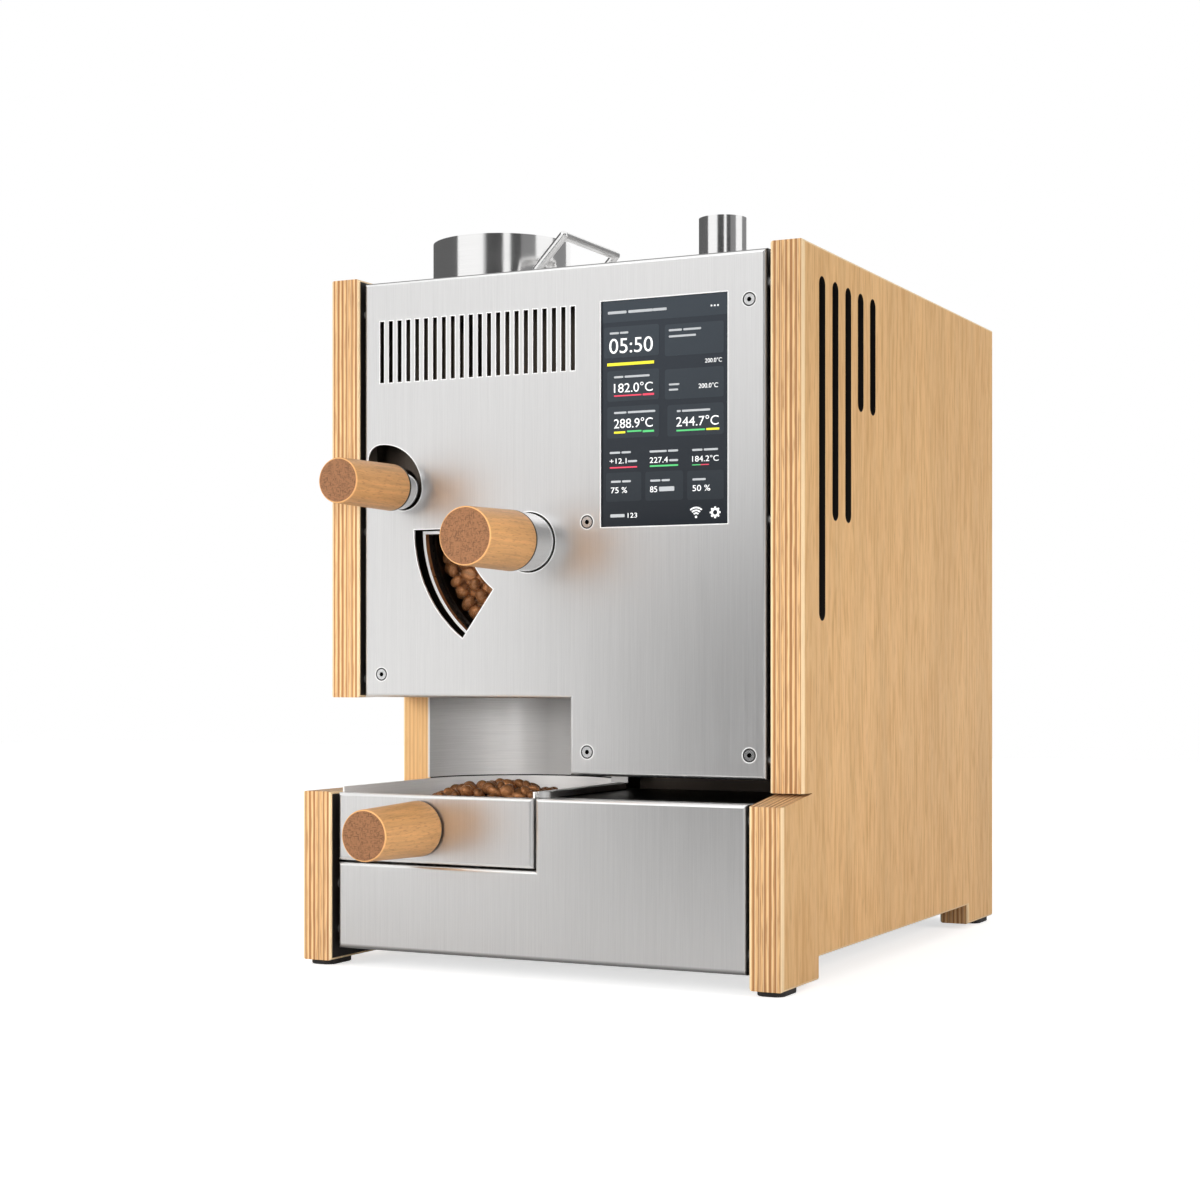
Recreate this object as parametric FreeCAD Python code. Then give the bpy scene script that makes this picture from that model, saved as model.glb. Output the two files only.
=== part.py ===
import FreeCAD, Part
import math
import os

# A countertop drum roaster. Millimetres, +Z up, the front looks along -Y.
# The origin is on the table, under the middle of the bounding box.

V = FreeCAD.Vector

# Casing
BODY_WIDTH = 340.0
SIDE_THICKNESS = 22.5
PAD_HEIGHT = 3.5
LOWER_BLOCK_HEIGHT = 110.9
BAY_HEIGHT = 61.2
UPPER_BLOCK_HEIGHT = 280.4
BODY_BACK_Y = 252.0
UPPER_FRONT_Y = -156.0
LOWER_FRONT_Y = -190.0
FOOT_RELIEF = 14.1
FRONT_FOOT_LENGTH = 61.2
REAR_FOOT_LENGTH = 64.8
SHADOW_SLOT = 5.0
SHADOW_SLOT_DEPTH = 13.6
NOTCH_DEPTH = 92.0
SLOT_FRONT_DROP = 1.2
SLOT_TIP = 0.5
DECK_DROP = 1.0
LOWER_PANEL_DROP = 0.6
SIDE_EDGE_RADIUS = 2.5
PAD_WIDTH = 18.0
PAD_LENGTH = 28.0
PAD_CORNER = 6.0
PAD_EDGE_RADIUS = 1.0
PAD_INSET = 4.0
VENT_WIDTH = 11.0
VENT_PITCH = 23.7
VENT_TOP_DROP = 18.3
VENT_FIRST_INSET = 31.2
VENT_LENGTHS = (212.9, 149.8, 149.8, 76.5, 76.5)

# Sheet metal
SHEET = 1.5
LINER = 1.2
SIDE_GAP = 2.7
PANEL_RIM = 14.0
BEND_RADIUS = 2.5
UPPER_SETBACK = 2.0
LOWER_SETBACK = 4.0
TOP_SETBACK = 3.4
PANEL_OVERHANG = 0.4
STEP_WIDTH = 135.2
STEP_HEIGHT = 49.1
LOWER_PANEL_BOTTOM = 11.7
SPACER_RADIUS = 3.0
SPACER_TOP_DROP = 20.0
SPACER_RISE = 12.0
SPACER_LOW_DROP = 10.0
SPACER_DRAWER_DROP = 16.0
COVER_SPACER_INSETS = (110.0, 50.0)
FREE = 0.3
RUNNING = 0.05
TOUCH = 0.01
STACK_GAP = 1.0
BULKHEAD_THICKNESS = 3.0
BULKHEAD_SETBACK = 21.0
BULKHEAD_TOP_GAP = 2.0
CEILING_GAP = 4.0
BACK_INSET = 4.5
RECESS_CEILING_GAP = 1.1
BACK_VENT_COUNT = 12
BACK_VENT_PITCH = 9.0
BACK_VENT_LENGTH = 90.0
BACK_VENT_HEIGHT = 4.0
PAN_VENT_COUNT = 9
PAN_VENT_PITCH = 12.0
PAN_VENT_LENGTH = 90.0
PAN_VENT_WIDTH = 5.0

# Screws and their pillars, as insets from the panel's edges
SCREW_RADIUS = 2.0
SCREW_HEAD_RADIUS = 4.3
SCREW_HEAD_HEIGHT = 2.3
SCREW_LENGTH = 12.0
SOCKET_SIDES = 6
SOCKET_RADIUS = 1.6
SOCKET_DEPTH = 1.7
PILLAR_RADIUS = 4.8
SCREW_EDGE_INSET = 11.4
SCREW_TOP_DROP = 30.7
SCREW_MIDDLE_DROP = 164.2
SCREW_STEP_INSET = 12.5
SCREW_LEFT_INSET = 13.5
SCREW_LOW_RISE = 15.2

# Touch screen
SCREEN_WIDTH = 87.1
SCREEN_HEIGHT = 142.9
SCREEN_EDGE_INSET = 25.8
SCREEN_TOP_DROP = 24.9
SCREEN_LAP = 2.0
SCREEN_GLASS = 2.0
SCREEN_DEPTH = 11.0
POST_RADIUS = 3.0
POST_INSET = 8.0

# Bare field with thin slits at the upper left
SLIT_COUNT = 22
SLIT_WIDTH = 3.2
SLIT_LENGTH = 41.0
SLIT_PITCH = 6.8
SLIT_LEFT_INSET = 12.4
SLIT_TOP_DROP = 26.2

# Drum and sight window
DRUM_X = -17.3
DRUM_FLOOR_GAP = 25.2
DRUM_RADIUS = 86.0
DRUM_LENGTH = 88.0
DRUM_WALL = 1.5
DRUM_GAP = 0.5
VANE_HEIGHT = 14.0
VANE_COUNT = 6
VANE_BED_GAP = 6.0
DRUM_HOLE_INSET = 32.7
DRUM_HOLE_RADIUS = 7.0
HOUSING_GAP = 7.5
HOUSING_WALL = 2.0
HOUSING_END_GAP = 18.0
SHAFT_RADIUS = 6.0
SHAFT_GAP = 2.0
SHAFT_END = 4.0
BEARING_RADIUS = 14.0
BEARING_WIDTH = 8.0
BOSS_WALL = 4.0
BOSS_LENGTH = 26.0
WINDOW_INNER = 49.5
WINDOW_OUTER = 88.6
WINDOW_START = 180.0
WINDOW_END = 234.2
WINDOW_DEPTH = 10.0
WINDOW_RIM = 2.0
FRAME_GAP = 0.2
FRAME_SETBACK = 0.4
WINDOW_LEDGE = 1.6
GLASS_THICKNESS = 2.0
BED_TILT = 217.0
BED_CHORD = 36.0
BED_LENGTH = 30.0

# Sampler
SAMPLER_X = -20.2
SAMPLER_DROP = 10.3
SLEEVE_RADIUS = 18.8
SLEEVE_GAP = 0.8
SLEEVE_REACH = 23.6
SLEEVE_LIP = 2.2
COLLAR_FILLET = 0.8
BUSH_RADIUS = 14.0
BUSH_LENGTH = 12.0
BUSH_GAP = 0.2
SAMPLER_ROD = 11.0
ROD_GAP = 0.5
ROD_PROUD = 0.4
SCOOP_START = 6.0
SCOOP_END = 3.0
SCOOP_REACH = 58.0
SCOOP_WALL = 1.5
KNOB_TIP_FILLET = 1.2
SAMPLER_KNOB = (19.5, 18.3, 58.2)

# Charge lever, gate and chute
LEVER_WALL_GAP = 12.8
LEVER_RISE = 138.7
CRANK = 19.3
CRANK_RADIUS = 7.0
CRANK_THICKNESS = 4.0
LEVER_SHAFT = 5.0
SHAFT_TAIL = 6.0
STEM_RADIUS = 6.0
COLLAR_RADIUS = 13.8
COLLAR_LENGTH = 12.7
COLLAR_GAP = 0.6
LEVER_KNOB = (15.4, 14.5, 63.9)
STUD_RADIUS = 4.0
STUD_LENGTH = 20.0
LEVER_TURN = 80.0
SLOT_LOW_SHIFT = (1.3, -0.3)
SLOT_HIGH_SHIFT = (-0.55, 1.39)
SLOT_LOW_RADIUS = 14.1
SLOT_HIGH_RADIUS = 9.5
SLOT_OUTER_RADIUS = 30.5
SLOT_INNER_RADIUS = 6.4
GATE_ARM = 68.0
GATE_RADIUS = 15.5
GATE_THICKNESS = 1.3
GATE_GAP = 0.5
GATE_HUB = 9.0
GATE_WEB = (-4.5, 8.0)
CHARGE_HOLE = 12.5
CHARGE_RISE = 3.6
CHUTE_WIDTH = 32.0
CHUTE_DEPTH = 22.0
CHUTE_FLARE = 2.4
CHUTE_START = 8.0
CHUTE_LIP = 2.0
CHUTE_GATE_GAP = 0.4
SPOUT_SEAT = 0.5

# Discharge
DOOR_X = -23.0
DOOR_WIDTH = 30.0
DOOR_HEIGHT = 26.0
DOOR_DROP = 74.8
FLAP_LAP = 2.0
FLAP_GAP = 0.5
FLAP_PIN_RISE = 5.0
DISCHARGE_MARGIN = 7.0
DISCHARGE_LIFT = 2.0
SERVO_GRIP = 5.0
PIN_RADIUS = 2.0
KNUCKLE_RADIUS = 3.5
SERVO_SIZE = (23.0, 17.0, 23.0)

# Cooling drawer
DRAWER_STEP_GAP = 9.4
DRAWER_HEIGHT = 44.4
DRAWER_GAP = 1.3
DRAWER_RIM = 4.0
DRAWER_KNOB = (18.0, 16.2, 64.0)
DRAWER_KNOB_INSET = 61.9
DRAWER_KNOB_RISE = 22.7
KNOB_RING = 2.0
KNOB_RING_STEP = 1.0
TRAY_STEP_GAP = 10.8
TRAY_LEFT_GAP = 0.5
TRAY_RIM_RISE = 3.1
TRAY_AXIS_Y = -69.5
TRAY_BASE_GAP = 1.6
SIEVE_RISE = 12.0
SIEVE_LEDGE = 5.0
SIEVE_SLOTS = 9
SIEVE_ROWS = 3
SIEVE_SIDE = 12.0
SIEVE_FRONT = 14.0
SIEVE_ROW_PITCH = 42.0
SIEVE_SLOT_WIDTH = 3.0
SIEVE_SLOT_LENGTH = 34.0
TRAY_FRONT_DROP = 0.8
HEAP_GAP = 1.0
RUNNER_HEIGHT = 8.0
RUNNER_LAP = 6.0
HEAP_TOP_RISE = 7.4
HEAP_CURVE = 200.0
LINER_GAP = 0.8
UPSTAND_RISE = 4.6
UPSTAND_RADIUS = 6.0
UPSTAND_SHORT = 20.0
DIVIDER_TAIL = 60.0
RECESS_BACK_Y = -50.0
DIVIDER_STEP_GAP = 6.6

# Top side
HOPPER_EDGE_INSET = 55.2
HOPPER_SETBACK = 91.0
HOPPER_RADIUS = 47.75
HOPPER_HEIGHT = 36.2
HOPPER_WALL = 1.5
THROAT_RISE = 2.0
SPOUT_RADIUS = 16.0
SPOUT_DROP = 13.0
STUB_EDGE_INSET = 76.0
STUB_SETBACK = 111.0
STUB_RADIUS = 16.4
STUB_HEIGHT = 44.4
STUB_WALL = 1.2
SPIGOT_STEP = 0.5
SPIGOT_LENGTH = 4.0
LID_HOPPER_GAP = 4.85
LID_STUB_GAP = 9.4
LID_SETBACK = 16.0
LID_LENGTH = 118.0
LID_THICKNESS = 1.5
LID_SEAT = 0.4
LID_EDGE_RADIUS = 0.6
LID_LAP = 6.0
LID_PIN = 2.0
LID_KNUCKLE = 4.0
LID_HINGE_GAP = 1.0
LID_KNUCKLE_PLAY = 0.2
LID_TONGUE_LIFT = 0.1
LID_RIM_GAP = 1.5
LID_RIM_DROP = 2.0
HINGE_EAR = 10.0
HINGE_SIDE_PLAY = 0.5
BAIL_EDGE_INSET = 8.0
BAIL_SETBACK = 29.0
BAIL_SPAN = 78.0
BAIL_RADIUS = 3.0
BAIL_RUN = 19.6
BAIL_RISE = 20.4
BAIL_SIDE_GAP = 1.0
BAIL_UNDER_GAP = 0.6
EAR_THICKNESS = 4.0
EAR_RADIUS = 4.5
CHAFF_PORT = 14.0
CHAFF_FRONT_GAP = 5.0
CHAFF_HOUSING_GAP = 2.0
BASKET_DROP = 6.0
BASKET_WALL = 1.0
BASKET_MARGIN = 8.0
BASKET_SLOTS = 6
BASKET_SLOT = 3.0

# Air system
DUCT_OFFSET = 42.3
DUCT_RISE = 33.2
DUCT_RADIUS = 24.0
DUCT_LENGTH = 100.0
BLOWER_RADIUS = 34.0
BLOWER_LENGTH = 62.0
BLOWER_TIP_GAP = 1.0
BLOWER_HUB = 12.0
BLOWER_WIDTH = 16.0
BLOWER_PITCH = 38.0
BLOWER_MOTOR_GAP = 2.0
DUCT_FLANGE = 6.0
AXLE_RADIUS = 3.0
FAN_AXLE_GRIP = 12.0
HEATER_FINS = 7
COIL_INSET = 6.3
HEATER_WIRE = 1.5
HEATER_FRONT_GAP = 6.0
HEATER_BACK_GAP = 8.0
MICA = 1.0
EXHAUST_RADIUS = 30.0
EXHAUST_TIP_GAP = 2.5
EXHAUST_HUB = 8.0
EXHAUST_WIDTH = 24.0
EXHAUST_SIDE_GAP = 5.0
EXHAUST_SHIFT = 0.6
EXHAUST_DROP = 2.0
COVER_GAP = 0.5
MOTOR_RADIUS = 15.0
MOTOR_LENGTH = 32.0
MOTOR_RING = 6.0
MOTOR_ARMS = 3
MOTOR_ARM_WIDTH = 4.0
BLADE_THICKNESS = 1.2
BLADE_ROOT = 1.0
FAN_MARGIN = 27.1
FAN_DEPTH = 25.0
FAN_BASE_RISE = 12.0
FAN_HUB = 20.0
FAN_WALL = 2.5
FAN_AXLE = 20.0
FAN_POST_RADIUS = 4.0
FAN_POST_INSET = 6.0
FAN_TIP_INSET = 4.0
FAN_WHEEL_MARGIN = 5.0
FAN_SETBACK = 20.0
SPIDER_HEIGHT = 3.0
SPIDER_ARM = 6.0
BLADES = 9
FAN_BLADES = 7
FAN_PITCH = 40.0

# Drive
MOTOR_OFFSET = 77.7
MOTOR_DROP = 36.8
DRUM_PULLEY = 24.0
MOTOR_PULLEY = 12.0
BELT_WIDTH = 8.0
BELT_THICKNESS = 2.0
PULLEY_GAP = 4.0
PULLEY_LIP = 1.5
GEARMOTOR_RADIUS = 20.0
GEARMOTOR_LENGTH = 70.0
BRACKET_GAP = 5.0
BRACKET_HEIGHT = 60.0
BRACKET_REACH = 26.0
BRACKET_FOOT = 24.0
AXLE_GRIP = 16.0

# Electrics
INLET_INSET = 47.5
INLET_Z = 62.0
INLET_WIDTH = 28.0
INLET_HEIGHT = 48.0
INLET_DEPTH = 30.0
INLET_RIM = 3.0
INLET_PROUD = 2.0
SOCKET_WIDTH = 22.0
SOCKET_HEIGHT = 16.0
SOCKET_DEEP = 14.0
BLADE_WIDTH = 2.0
BLADE_HEIGHT = 6.0
BLADE_PITCH = 7.0
ROCKER = (15.0, 17.0)
ROCKER_PLAY = 2.5
ROCKER_SIDE_GAP = 0.4
ROCKER_WELL = 8.0
ROCKER_PIN = 1.5
ROCKER_INSET = 5.0
ROCKER_TOP_WALL = 2.0
ROCKER_FOOT = (2.5, 4.0)
# Depth from the pin, and height as a share of the rocker's half height, from its top down
ROCKER_FACE = ((4.5, 1.0), (6.0, 1.0), (4.6, 0.0), (8.6, -1.0), (7.0, -1.05))
SUPPLY_SIZE = (80.0, 130.0, 40.0)
SUPPLY_SIDE_GAP = 8.0
SUPPLY_BACK_GAP = 50.0
BOARD_SIZE = (150.0, 110.0)
BOARD_THICKNESS = 1.6
BOARD_STANDOFF = 10.0
BOARD_BACK_GAP = 30.0
BOARD_DROP = 60.0
CHIP_SIZE = (24.0, 18.0)
# Each tall part on the board: its place along and up the board, and its height
CHIPS = ((20.0, 20.0, 14.0), (60.0, 70.0, 8.0), (105.0, 30.0, 20.0))

# Places that follow from the sizes
INNER_X = BODY_WIDTH / 2 - SIDE_THICKNESS
PANEL_X = INNER_X - SIDE_GAP
STEP_X = PANEL_X - STEP_WIDTH
LOWER_TOP_Z = PAD_HEIGHT + LOWER_BLOCK_HEIGHT
UPPER_BOTTOM_Z = LOWER_TOP_Z + BAY_HEIGHT
SIDE_TOP_Z = UPPER_BOTTOM_Z + UPPER_BLOCK_HEIGHT
UNDERSIDE_Z = PAD_HEIGHT + FOOT_RELIEF
PANEL_Y = UPPER_FRONT_Y + UPPER_SETBACK
LOWER_Y = LOWER_FRONT_Y + LOWER_SETBACK
COVER_Z = SIDE_TOP_Z - TOP_SETBACK
PANEL_BOTTOM_Z = UPPER_BOTTOM_Z + PANEL_OVERHANG
STEP_BOTTOM_Z = PANEL_BOTTOM_Z - STEP_HEIGHT
DECK_Z = LOWER_TOP_Z - DECK_DROP
LOWER_PANEL_TOP = LOWER_TOP_Z - LOWER_PANEL_DROP
BULKHEAD_Y = PANEL_Y + BULKHEAD_SETBACK
BULKHEAD_BACK = BULKHEAD_Y + BULKHEAD_THICKNESS
CEILING_Z = PANEL_BOTTOM_Z + CEILING_GAP
RECESS_TOP_Z = STEP_BOTTOM_Z + RECESS_CEILING_GAP
BACK_Y = BODY_BACK_Y - BACK_INSET
PAN_FRONT_Y = LOWER_Y + PANEL_RIM
DRUM_Z = UPPER_BOTTOM_Z + DRUM_RADIUS + DRUM_FLOOR_GAP
DRUM_FRONT = BULKHEAD_BACK + DRUM_GAP
DRUM_BACK = DRUM_FRONT + DRUM_LENGTH
HOUSING_OUTER = DRUM_RADIUS + DRUM_WALL + HOUSING_GAP + HOUSING_WALL
HOUSING_BACK = DRUM_BACK + HOUSING_END_GAP + HOUSING_WALL
BOSS_BACK = HOUSING_BACK + BOSS_LENGTH
PULLEY_Y = BOSS_BACK + PULLEY_GAP
BRACKET_Y = PULLEY_Y + BELT_WIDTH + BRACKET_GAP
SAMPLER_Z = DRUM_Z - SAMPLER_DROP
SLEEVE_FRONT = PANEL_Y - SLEEVE_REACH
BUSH_FRONT = SLEEVE_FRONT + SLEEVE_LIP
ROD_FRONT = SLEEVE_FRONT - ROD_PROUD
LEVER_X = -INNER_X + LEVER_WALL_GAP
LEVER_Z = UPPER_BOTTOM_Z + LEVER_RISE
GATE_Y = BULKHEAD_Y - GATE_GAP - GATE_THICKNESS
CHUTE_BACK = GATE_Y - CHUTE_GATE_GAP
CHARGE_X = LEVER_X + GATE_ARM
CHARGE_Z = LEVER_Z + CHARGE_RISE
COLLAR_BACK = PANEL_Y - COLLAR_GAP
COLLAR_FRONT = COLLAR_BACK - COLLAR_LENGTH
HOPPER_X = -PANEL_X + HOPPER_EDGE_INSET
HOPPER_Y = PANEL_Y + HOPPER_SETBACK
STUB_X = PANEL_X - STUB_EDGE_INSET
STUB_Y = PANEL_Y + STUB_SETBACK
COVER_UNDER = COVER_Z - SHEET
SPOUT_Z = COVER_UNDER - SPOUT_DROP
DRAWER_TOP = LOWER_PANEL_TOP
DRAWER_BOTTOM = DRAWER_TOP - DRAWER_HEIGHT
TRAY_LEFT_X = -PANEL_X + TRAY_LEFT_GAP
TRAY_RIGHT_X = STEP_X - TRAY_STEP_GAP
DRAWER_RIGHT_X = STEP_X - DRAWER_STEP_GAP
DIVIDER_X = STEP_X - DIVIDER_STEP_GAP
TRAY_X = (TRAY_LEFT_X + TRAY_RIGHT_X) / 2
TRAY_RADIUS = (TRAY_RIGHT_X - TRAY_LEFT_X) / 2
TRAY_TOP = LOWER_TOP_Z + TRAY_RIM_RISE
TRAY_BASE = DRAWER_BOTTOM + TRAY_BASE_GAP
TRAY_FRONT = LOWER_Y + DRAWER_RIM
SIEVE_Z = TRAY_BASE + SIEVE_RISE
LINER_BASE = TRAY_TOP + LINER_GAP
LID_LEFT_X = HOPPER_X + HOPPER_RADIUS + LID_HOPPER_GAP
LID_RIGHT_X = STUB_X - STUB_RADIUS - LID_STUB_GAP
LID_FRONT = PANEL_Y + LID_SETBACK
LID_BACK = LID_FRONT + LID_LENGTH
LID_Z = COVER_Z + LID_SEAT
HINGE_Y = LID_BACK + LID_HINGE_GAP + LID_KNUCKLE
HINGE_Z = LID_Z + LID_KNUCKLE
BAIL_PIVOT_X = LID_LEFT_X + BAIL_EDGE_INSET
CHAFF_LEFT = LID_LEFT_X + LID_LAP
CHAFF_RIGHT = LID_RIGHT_X - LID_LAP
CHAFF_FRONT = BULKHEAD_BACK + CHAFF_FRONT_GAP
CHAFF_BACK = LID_BACK - 2.0 * LID_LAP
CHAFF_BASE = DRUM_Z + HOUSING_OUTER + CHAFF_HOUSING_GAP
DUCT_X = DRUM_X + DUCT_OFFSET
DUCT_Z = DRUM_Z + DUCT_RISE
DUCT_BACK = HOUSING_BACK + DUCT_LENGTH
BLOWER_BACK = DUCT_BACK + BLOWER_LENGTH
MOTOR_FRONT = BLOWER_BACK - MOTOR_LENGTH
EXHAUST_Y = STUB_Y + STUB_RADIUS - EXHAUST_RADIUS + EXHAUST_SHIFT
EXHAUST_Z = COVER_UNDER - EXHAUST_RADIUS - EXHAUST_DROP
EXHAUST_LEFT_X = STUB_X - STUB_RADIUS - SHEET - FREE
EXHAUST_RIGHT = STUB_X + STUB_RADIUS + SHEET + FREE
MOTOR_X = DRUM_X - MOTOR_OFFSET
MOTOR_Z = DRUM_Z - MOTOR_DROP
INLET_X = INNER_X - INLET_INSET
FAN_SIZE = 2 * TRAY_RADIUS - FAN_MARGIN
FAN_Z = UNDERSIDE_Z + SHEET + FAN_BASE_RISE
FAN_Y = TRAY_AXIS_Y - FAN_SETBACK
FAR = 400.0


def box(x0, x1, y0, y1, z0, z1):
    return Part.makeBox(x1 - x0, y1 - y0, z1 - z0, V(x0, y0, z0))


def rod_x(radius, y, z, x0, x1):
    return Part.makeCylinder(radius, x1 - x0, V(x0, y, z), V(1, 0, 0))


def rod_y(radius, x, z, y0, y1):
    return Part.makeCylinder(radius, y1 - y0, V(x, y0, z), V(0, 1, 0))


def rod_z(radius, x, y, z0, z1):
    return Part.makeCylinder(radius, z1 - z0, V(x, y, z0), V(0, 0, 1))


def prism_x(points, x0, x1):
    """A straight-sided outline of (y, z) points, between two x planes."""
    wire = Part.makePolygon([V(x0, y, z) for y, z in points + [points[0]]])
    return Part.Face(wire).extrude(V(x1 - x0, 0, 0))


def prism_y(points, y0, y1):
    """A straight-sided outline of (x, z) points, between two y planes."""
    wire = Part.makePolygon([V(x, y0, z) for x, z in points + [points[0]]])
    return Part.Face(wire).extrude(V(0, y1 - y0, 0))


def rounded(shape, radius, wanted):
    edges = [edge for edge in shape.Edges if wanted(edge.BoundBox)]
    return shape.makeFillet(radius, edges)


def union(shapes):
    return shapes[0].multiFuse(shapes[1:]).removeSplitter()


def group(shapes):
    return Part.makeCompound(shapes)


def arc(centre, start, end, side):
    """The arc from start to end round centre; side 1 is the short way, -1 the long way."""
    bisector = (start + end) * 0.5 - centre
    bisector.normalize()
    middle = centre + bisector * (side * (start - centre).Length)
    return Part.Arc(start, middle, end).toShape()


def meeting(c1, r1, c2, r2):
    """Where two circles in an XZ plane cross, to the left of the way from c1 to c2."""
    between = c2 - c1
    along = (between.Length ** 2 + r1 ** 2 - r2 ** 2) / (2 * between.Length)
    across = math.sqrt(r1 ** 2 - along ** 2)
    unit = V(between).normalize()
    normal = V(-unit.z, 0, unit.x)
    return c1 + unit * along + normal * across


def folded_panel(points, front, rim):
    """A sheet with its edges folded back, its front edges rounded."""
    solid = prism_y(points, front, front + rim)
    solid = rounded(solid, BEND_RADIUS, lambda b: b.YLength < TOUCH and b.YMax < front + TOUCH)
    wire = Part.makePolygon([V(x, front + SHEET, z) for x, z in points + [points[0]]])
    inside = Part.Face(wire).makeOffset2D(-SHEET, 2)
    return solid.cut(inside.extrude(V(0, rim, 0)))


def polar(radius, degrees):
    """A point in the drum's plane, from the drum's axis."""
    angle = math.radians(degrees)
    return DRUM_X + radius * math.cos(angle), DRUM_Z + radius * math.sin(angle)


def window_sector(inner, outer, inset, y0, y1):
    """A slice of a ring round the drum's axis, its straight edges moved inwards by inset."""
    ring = rod_y(outer, DRUM_X, DRUM_Z, y0, y1).cut(rod_y(inner, DRUM_X, DRUM_Z, y0, y1))
    half = (WINDOW_END - WINDOW_START) / 2
    middle = WINDOW_START + half
    apex = polar(inset / math.sin(math.radians(half)), middle)
    points = [apex]
    for angle in (WINDOW_START, middle, WINDOW_END):
        points.append((apex[0] + FAR * math.cos(math.radians(angle)),
                       apex[1] + FAR * math.sin(math.radians(angle))))
    return ring.common(prism_y(points, y0, y1))


def tray_plan(grow, z0, z1, front=TRAY_FRONT):
    """The tray's D shape, its sides grown outwards by grow."""
    radius = TRAY_RADIUS + grow
    block = box(TRAY_X - radius, TRAY_X + radius, front, TRAY_AXIS_Y, z0, z1)
    return block.fuse(rod_z(radius, TRAY_X, TRAY_AXIS_Y, z0, z1)).removeSplitter()


def screw_places():
    right = PANEL_X - SCREW_EDGE_INSET
    step = STEP_X + SCREW_STEP_INSET
    left = -PANEL_X + SCREW_LEFT_INSET
    return [(right, COVER_Z - SCREW_TOP_DROP),
            (step, COVER_Z - SCREW_MIDDLE_DROP),
            (left, PANEL_BOTTOM_Z + SCREW_LOW_RISE),
            (step, STEP_BOTTOM_Z + SCREW_LOW_RISE),
            (right, STEP_BOTTOM_Z + SCREW_LOW_RISE)]


def screw(x, z, grow=0.0):
    head = Part.makeCone(SCREW_HEAD_RADIUS + grow, SCREW_RADIUS + grow, SCREW_HEAD_HEIGHT,
                         V(x, PANEL_Y, z), V(0, 1, 0))
    return head.fuse(rod_y(SCREW_RADIUS + grow, x, z, PANEL_Y, PANEL_Y + SCREW_LENGTH))


def knob(size, x, z, back):
    """A turned wooden knob: slightly tapered, with a blind hole for its stud."""
    base, tip, length = size
    body = Part.makeCone(base, tip, length, V(x, back, z), V(0, -1, 0))
    body = rounded(body, KNOB_TIP_FILLET, lambda b: b.YMax < back - length + TOUCH)
    return body.cut(rod_y(STUD_RADIUS, x, z, back - STUD_LENGTH, back))


def side_profile(notch):
    front_foot = LOWER_FRONT_Y + FRONT_FOOT_LENGTH
    rear_foot = BODY_BACK_Y - REAR_FOOT_LENGTH
    points = [(LOWER_FRONT_Y, PAD_HEIGHT), (front_foot, PAD_HEIGHT), (front_foot, UNDERSIDE_Z),
              (rear_foot, UNDERSIDE_Z), (rear_foot, PAD_HEIGHT), (BODY_BACK_Y, PAD_HEIGHT),
              (BODY_BACK_Y, SIDE_TOP_Z), (UPPER_FRONT_Y, SIDE_TOP_Z)]
    if notch:
        deep = UPPER_FRONT_Y + NOTCH_DEPTH
        cut = [(UPPER_FRONT_Y, UPPER_BOTTOM_Z), (deep, UPPER_BOTTOM_Z), (deep, LOWER_TOP_Z),
               (LOWER_FRONT_Y, LOWER_TOP_Z)]
    else:
        deep = UPPER_FRONT_Y + SHADOW_SLOT_DEPTH
        high = LOWER_TOP_Z + SHADOW_SLOT
        cut = [(UPPER_FRONT_Y, high), (deep, high), (deep, high - SLOT_TIP),
               (LOWER_FRONT_Y, LOWER_TOP_Z - SLOT_FRONT_DROP)]
    return points + cut


def side_panel(outer_x, notch):
    inner_x = math.copysign(INNER_X, outer_x)
    low, high = sorted((inner_x, outer_x))
    panel = prism_x(side_profile(notch), low, high)
    slot_low = LOWER_TOP_Z - SLOT_FRONT_DROP - TOUCH
    slot_high = LOWER_TOP_Z + SHADOW_SLOT + TOUCH

    def exposed(b):
        outline = b.XLength < TOUCH
        in_slot = slot_low < b.ZMin and b.ZMax < slot_high
        return outline and (notch or not in_slot)

    return rounded(panel, SIDE_EDGE_RADIUS, exposed)


def side_vents(panel):
    radius = VENT_WIDTH / 2
    top = SIDE_TOP_Z - VENT_TOP_DROP
    for index, length in enumerate(VENT_LENGTHS):
        y = UPPER_FRONT_Y + VENT_FIRST_INSET + index * VENT_PITCH
        slot = box(INNER_X, BODY_WIDTH / 2, y - radius, y + radius, top - length + radius,
                   top - radius)
        ends = [rod_x(radius, y, z, INNER_X, BODY_WIDTH / 2)
                for z in (top - radius, top - length + radius)]
        panel = panel.cut(slot.multiFuse(ends))
    return panel


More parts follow.
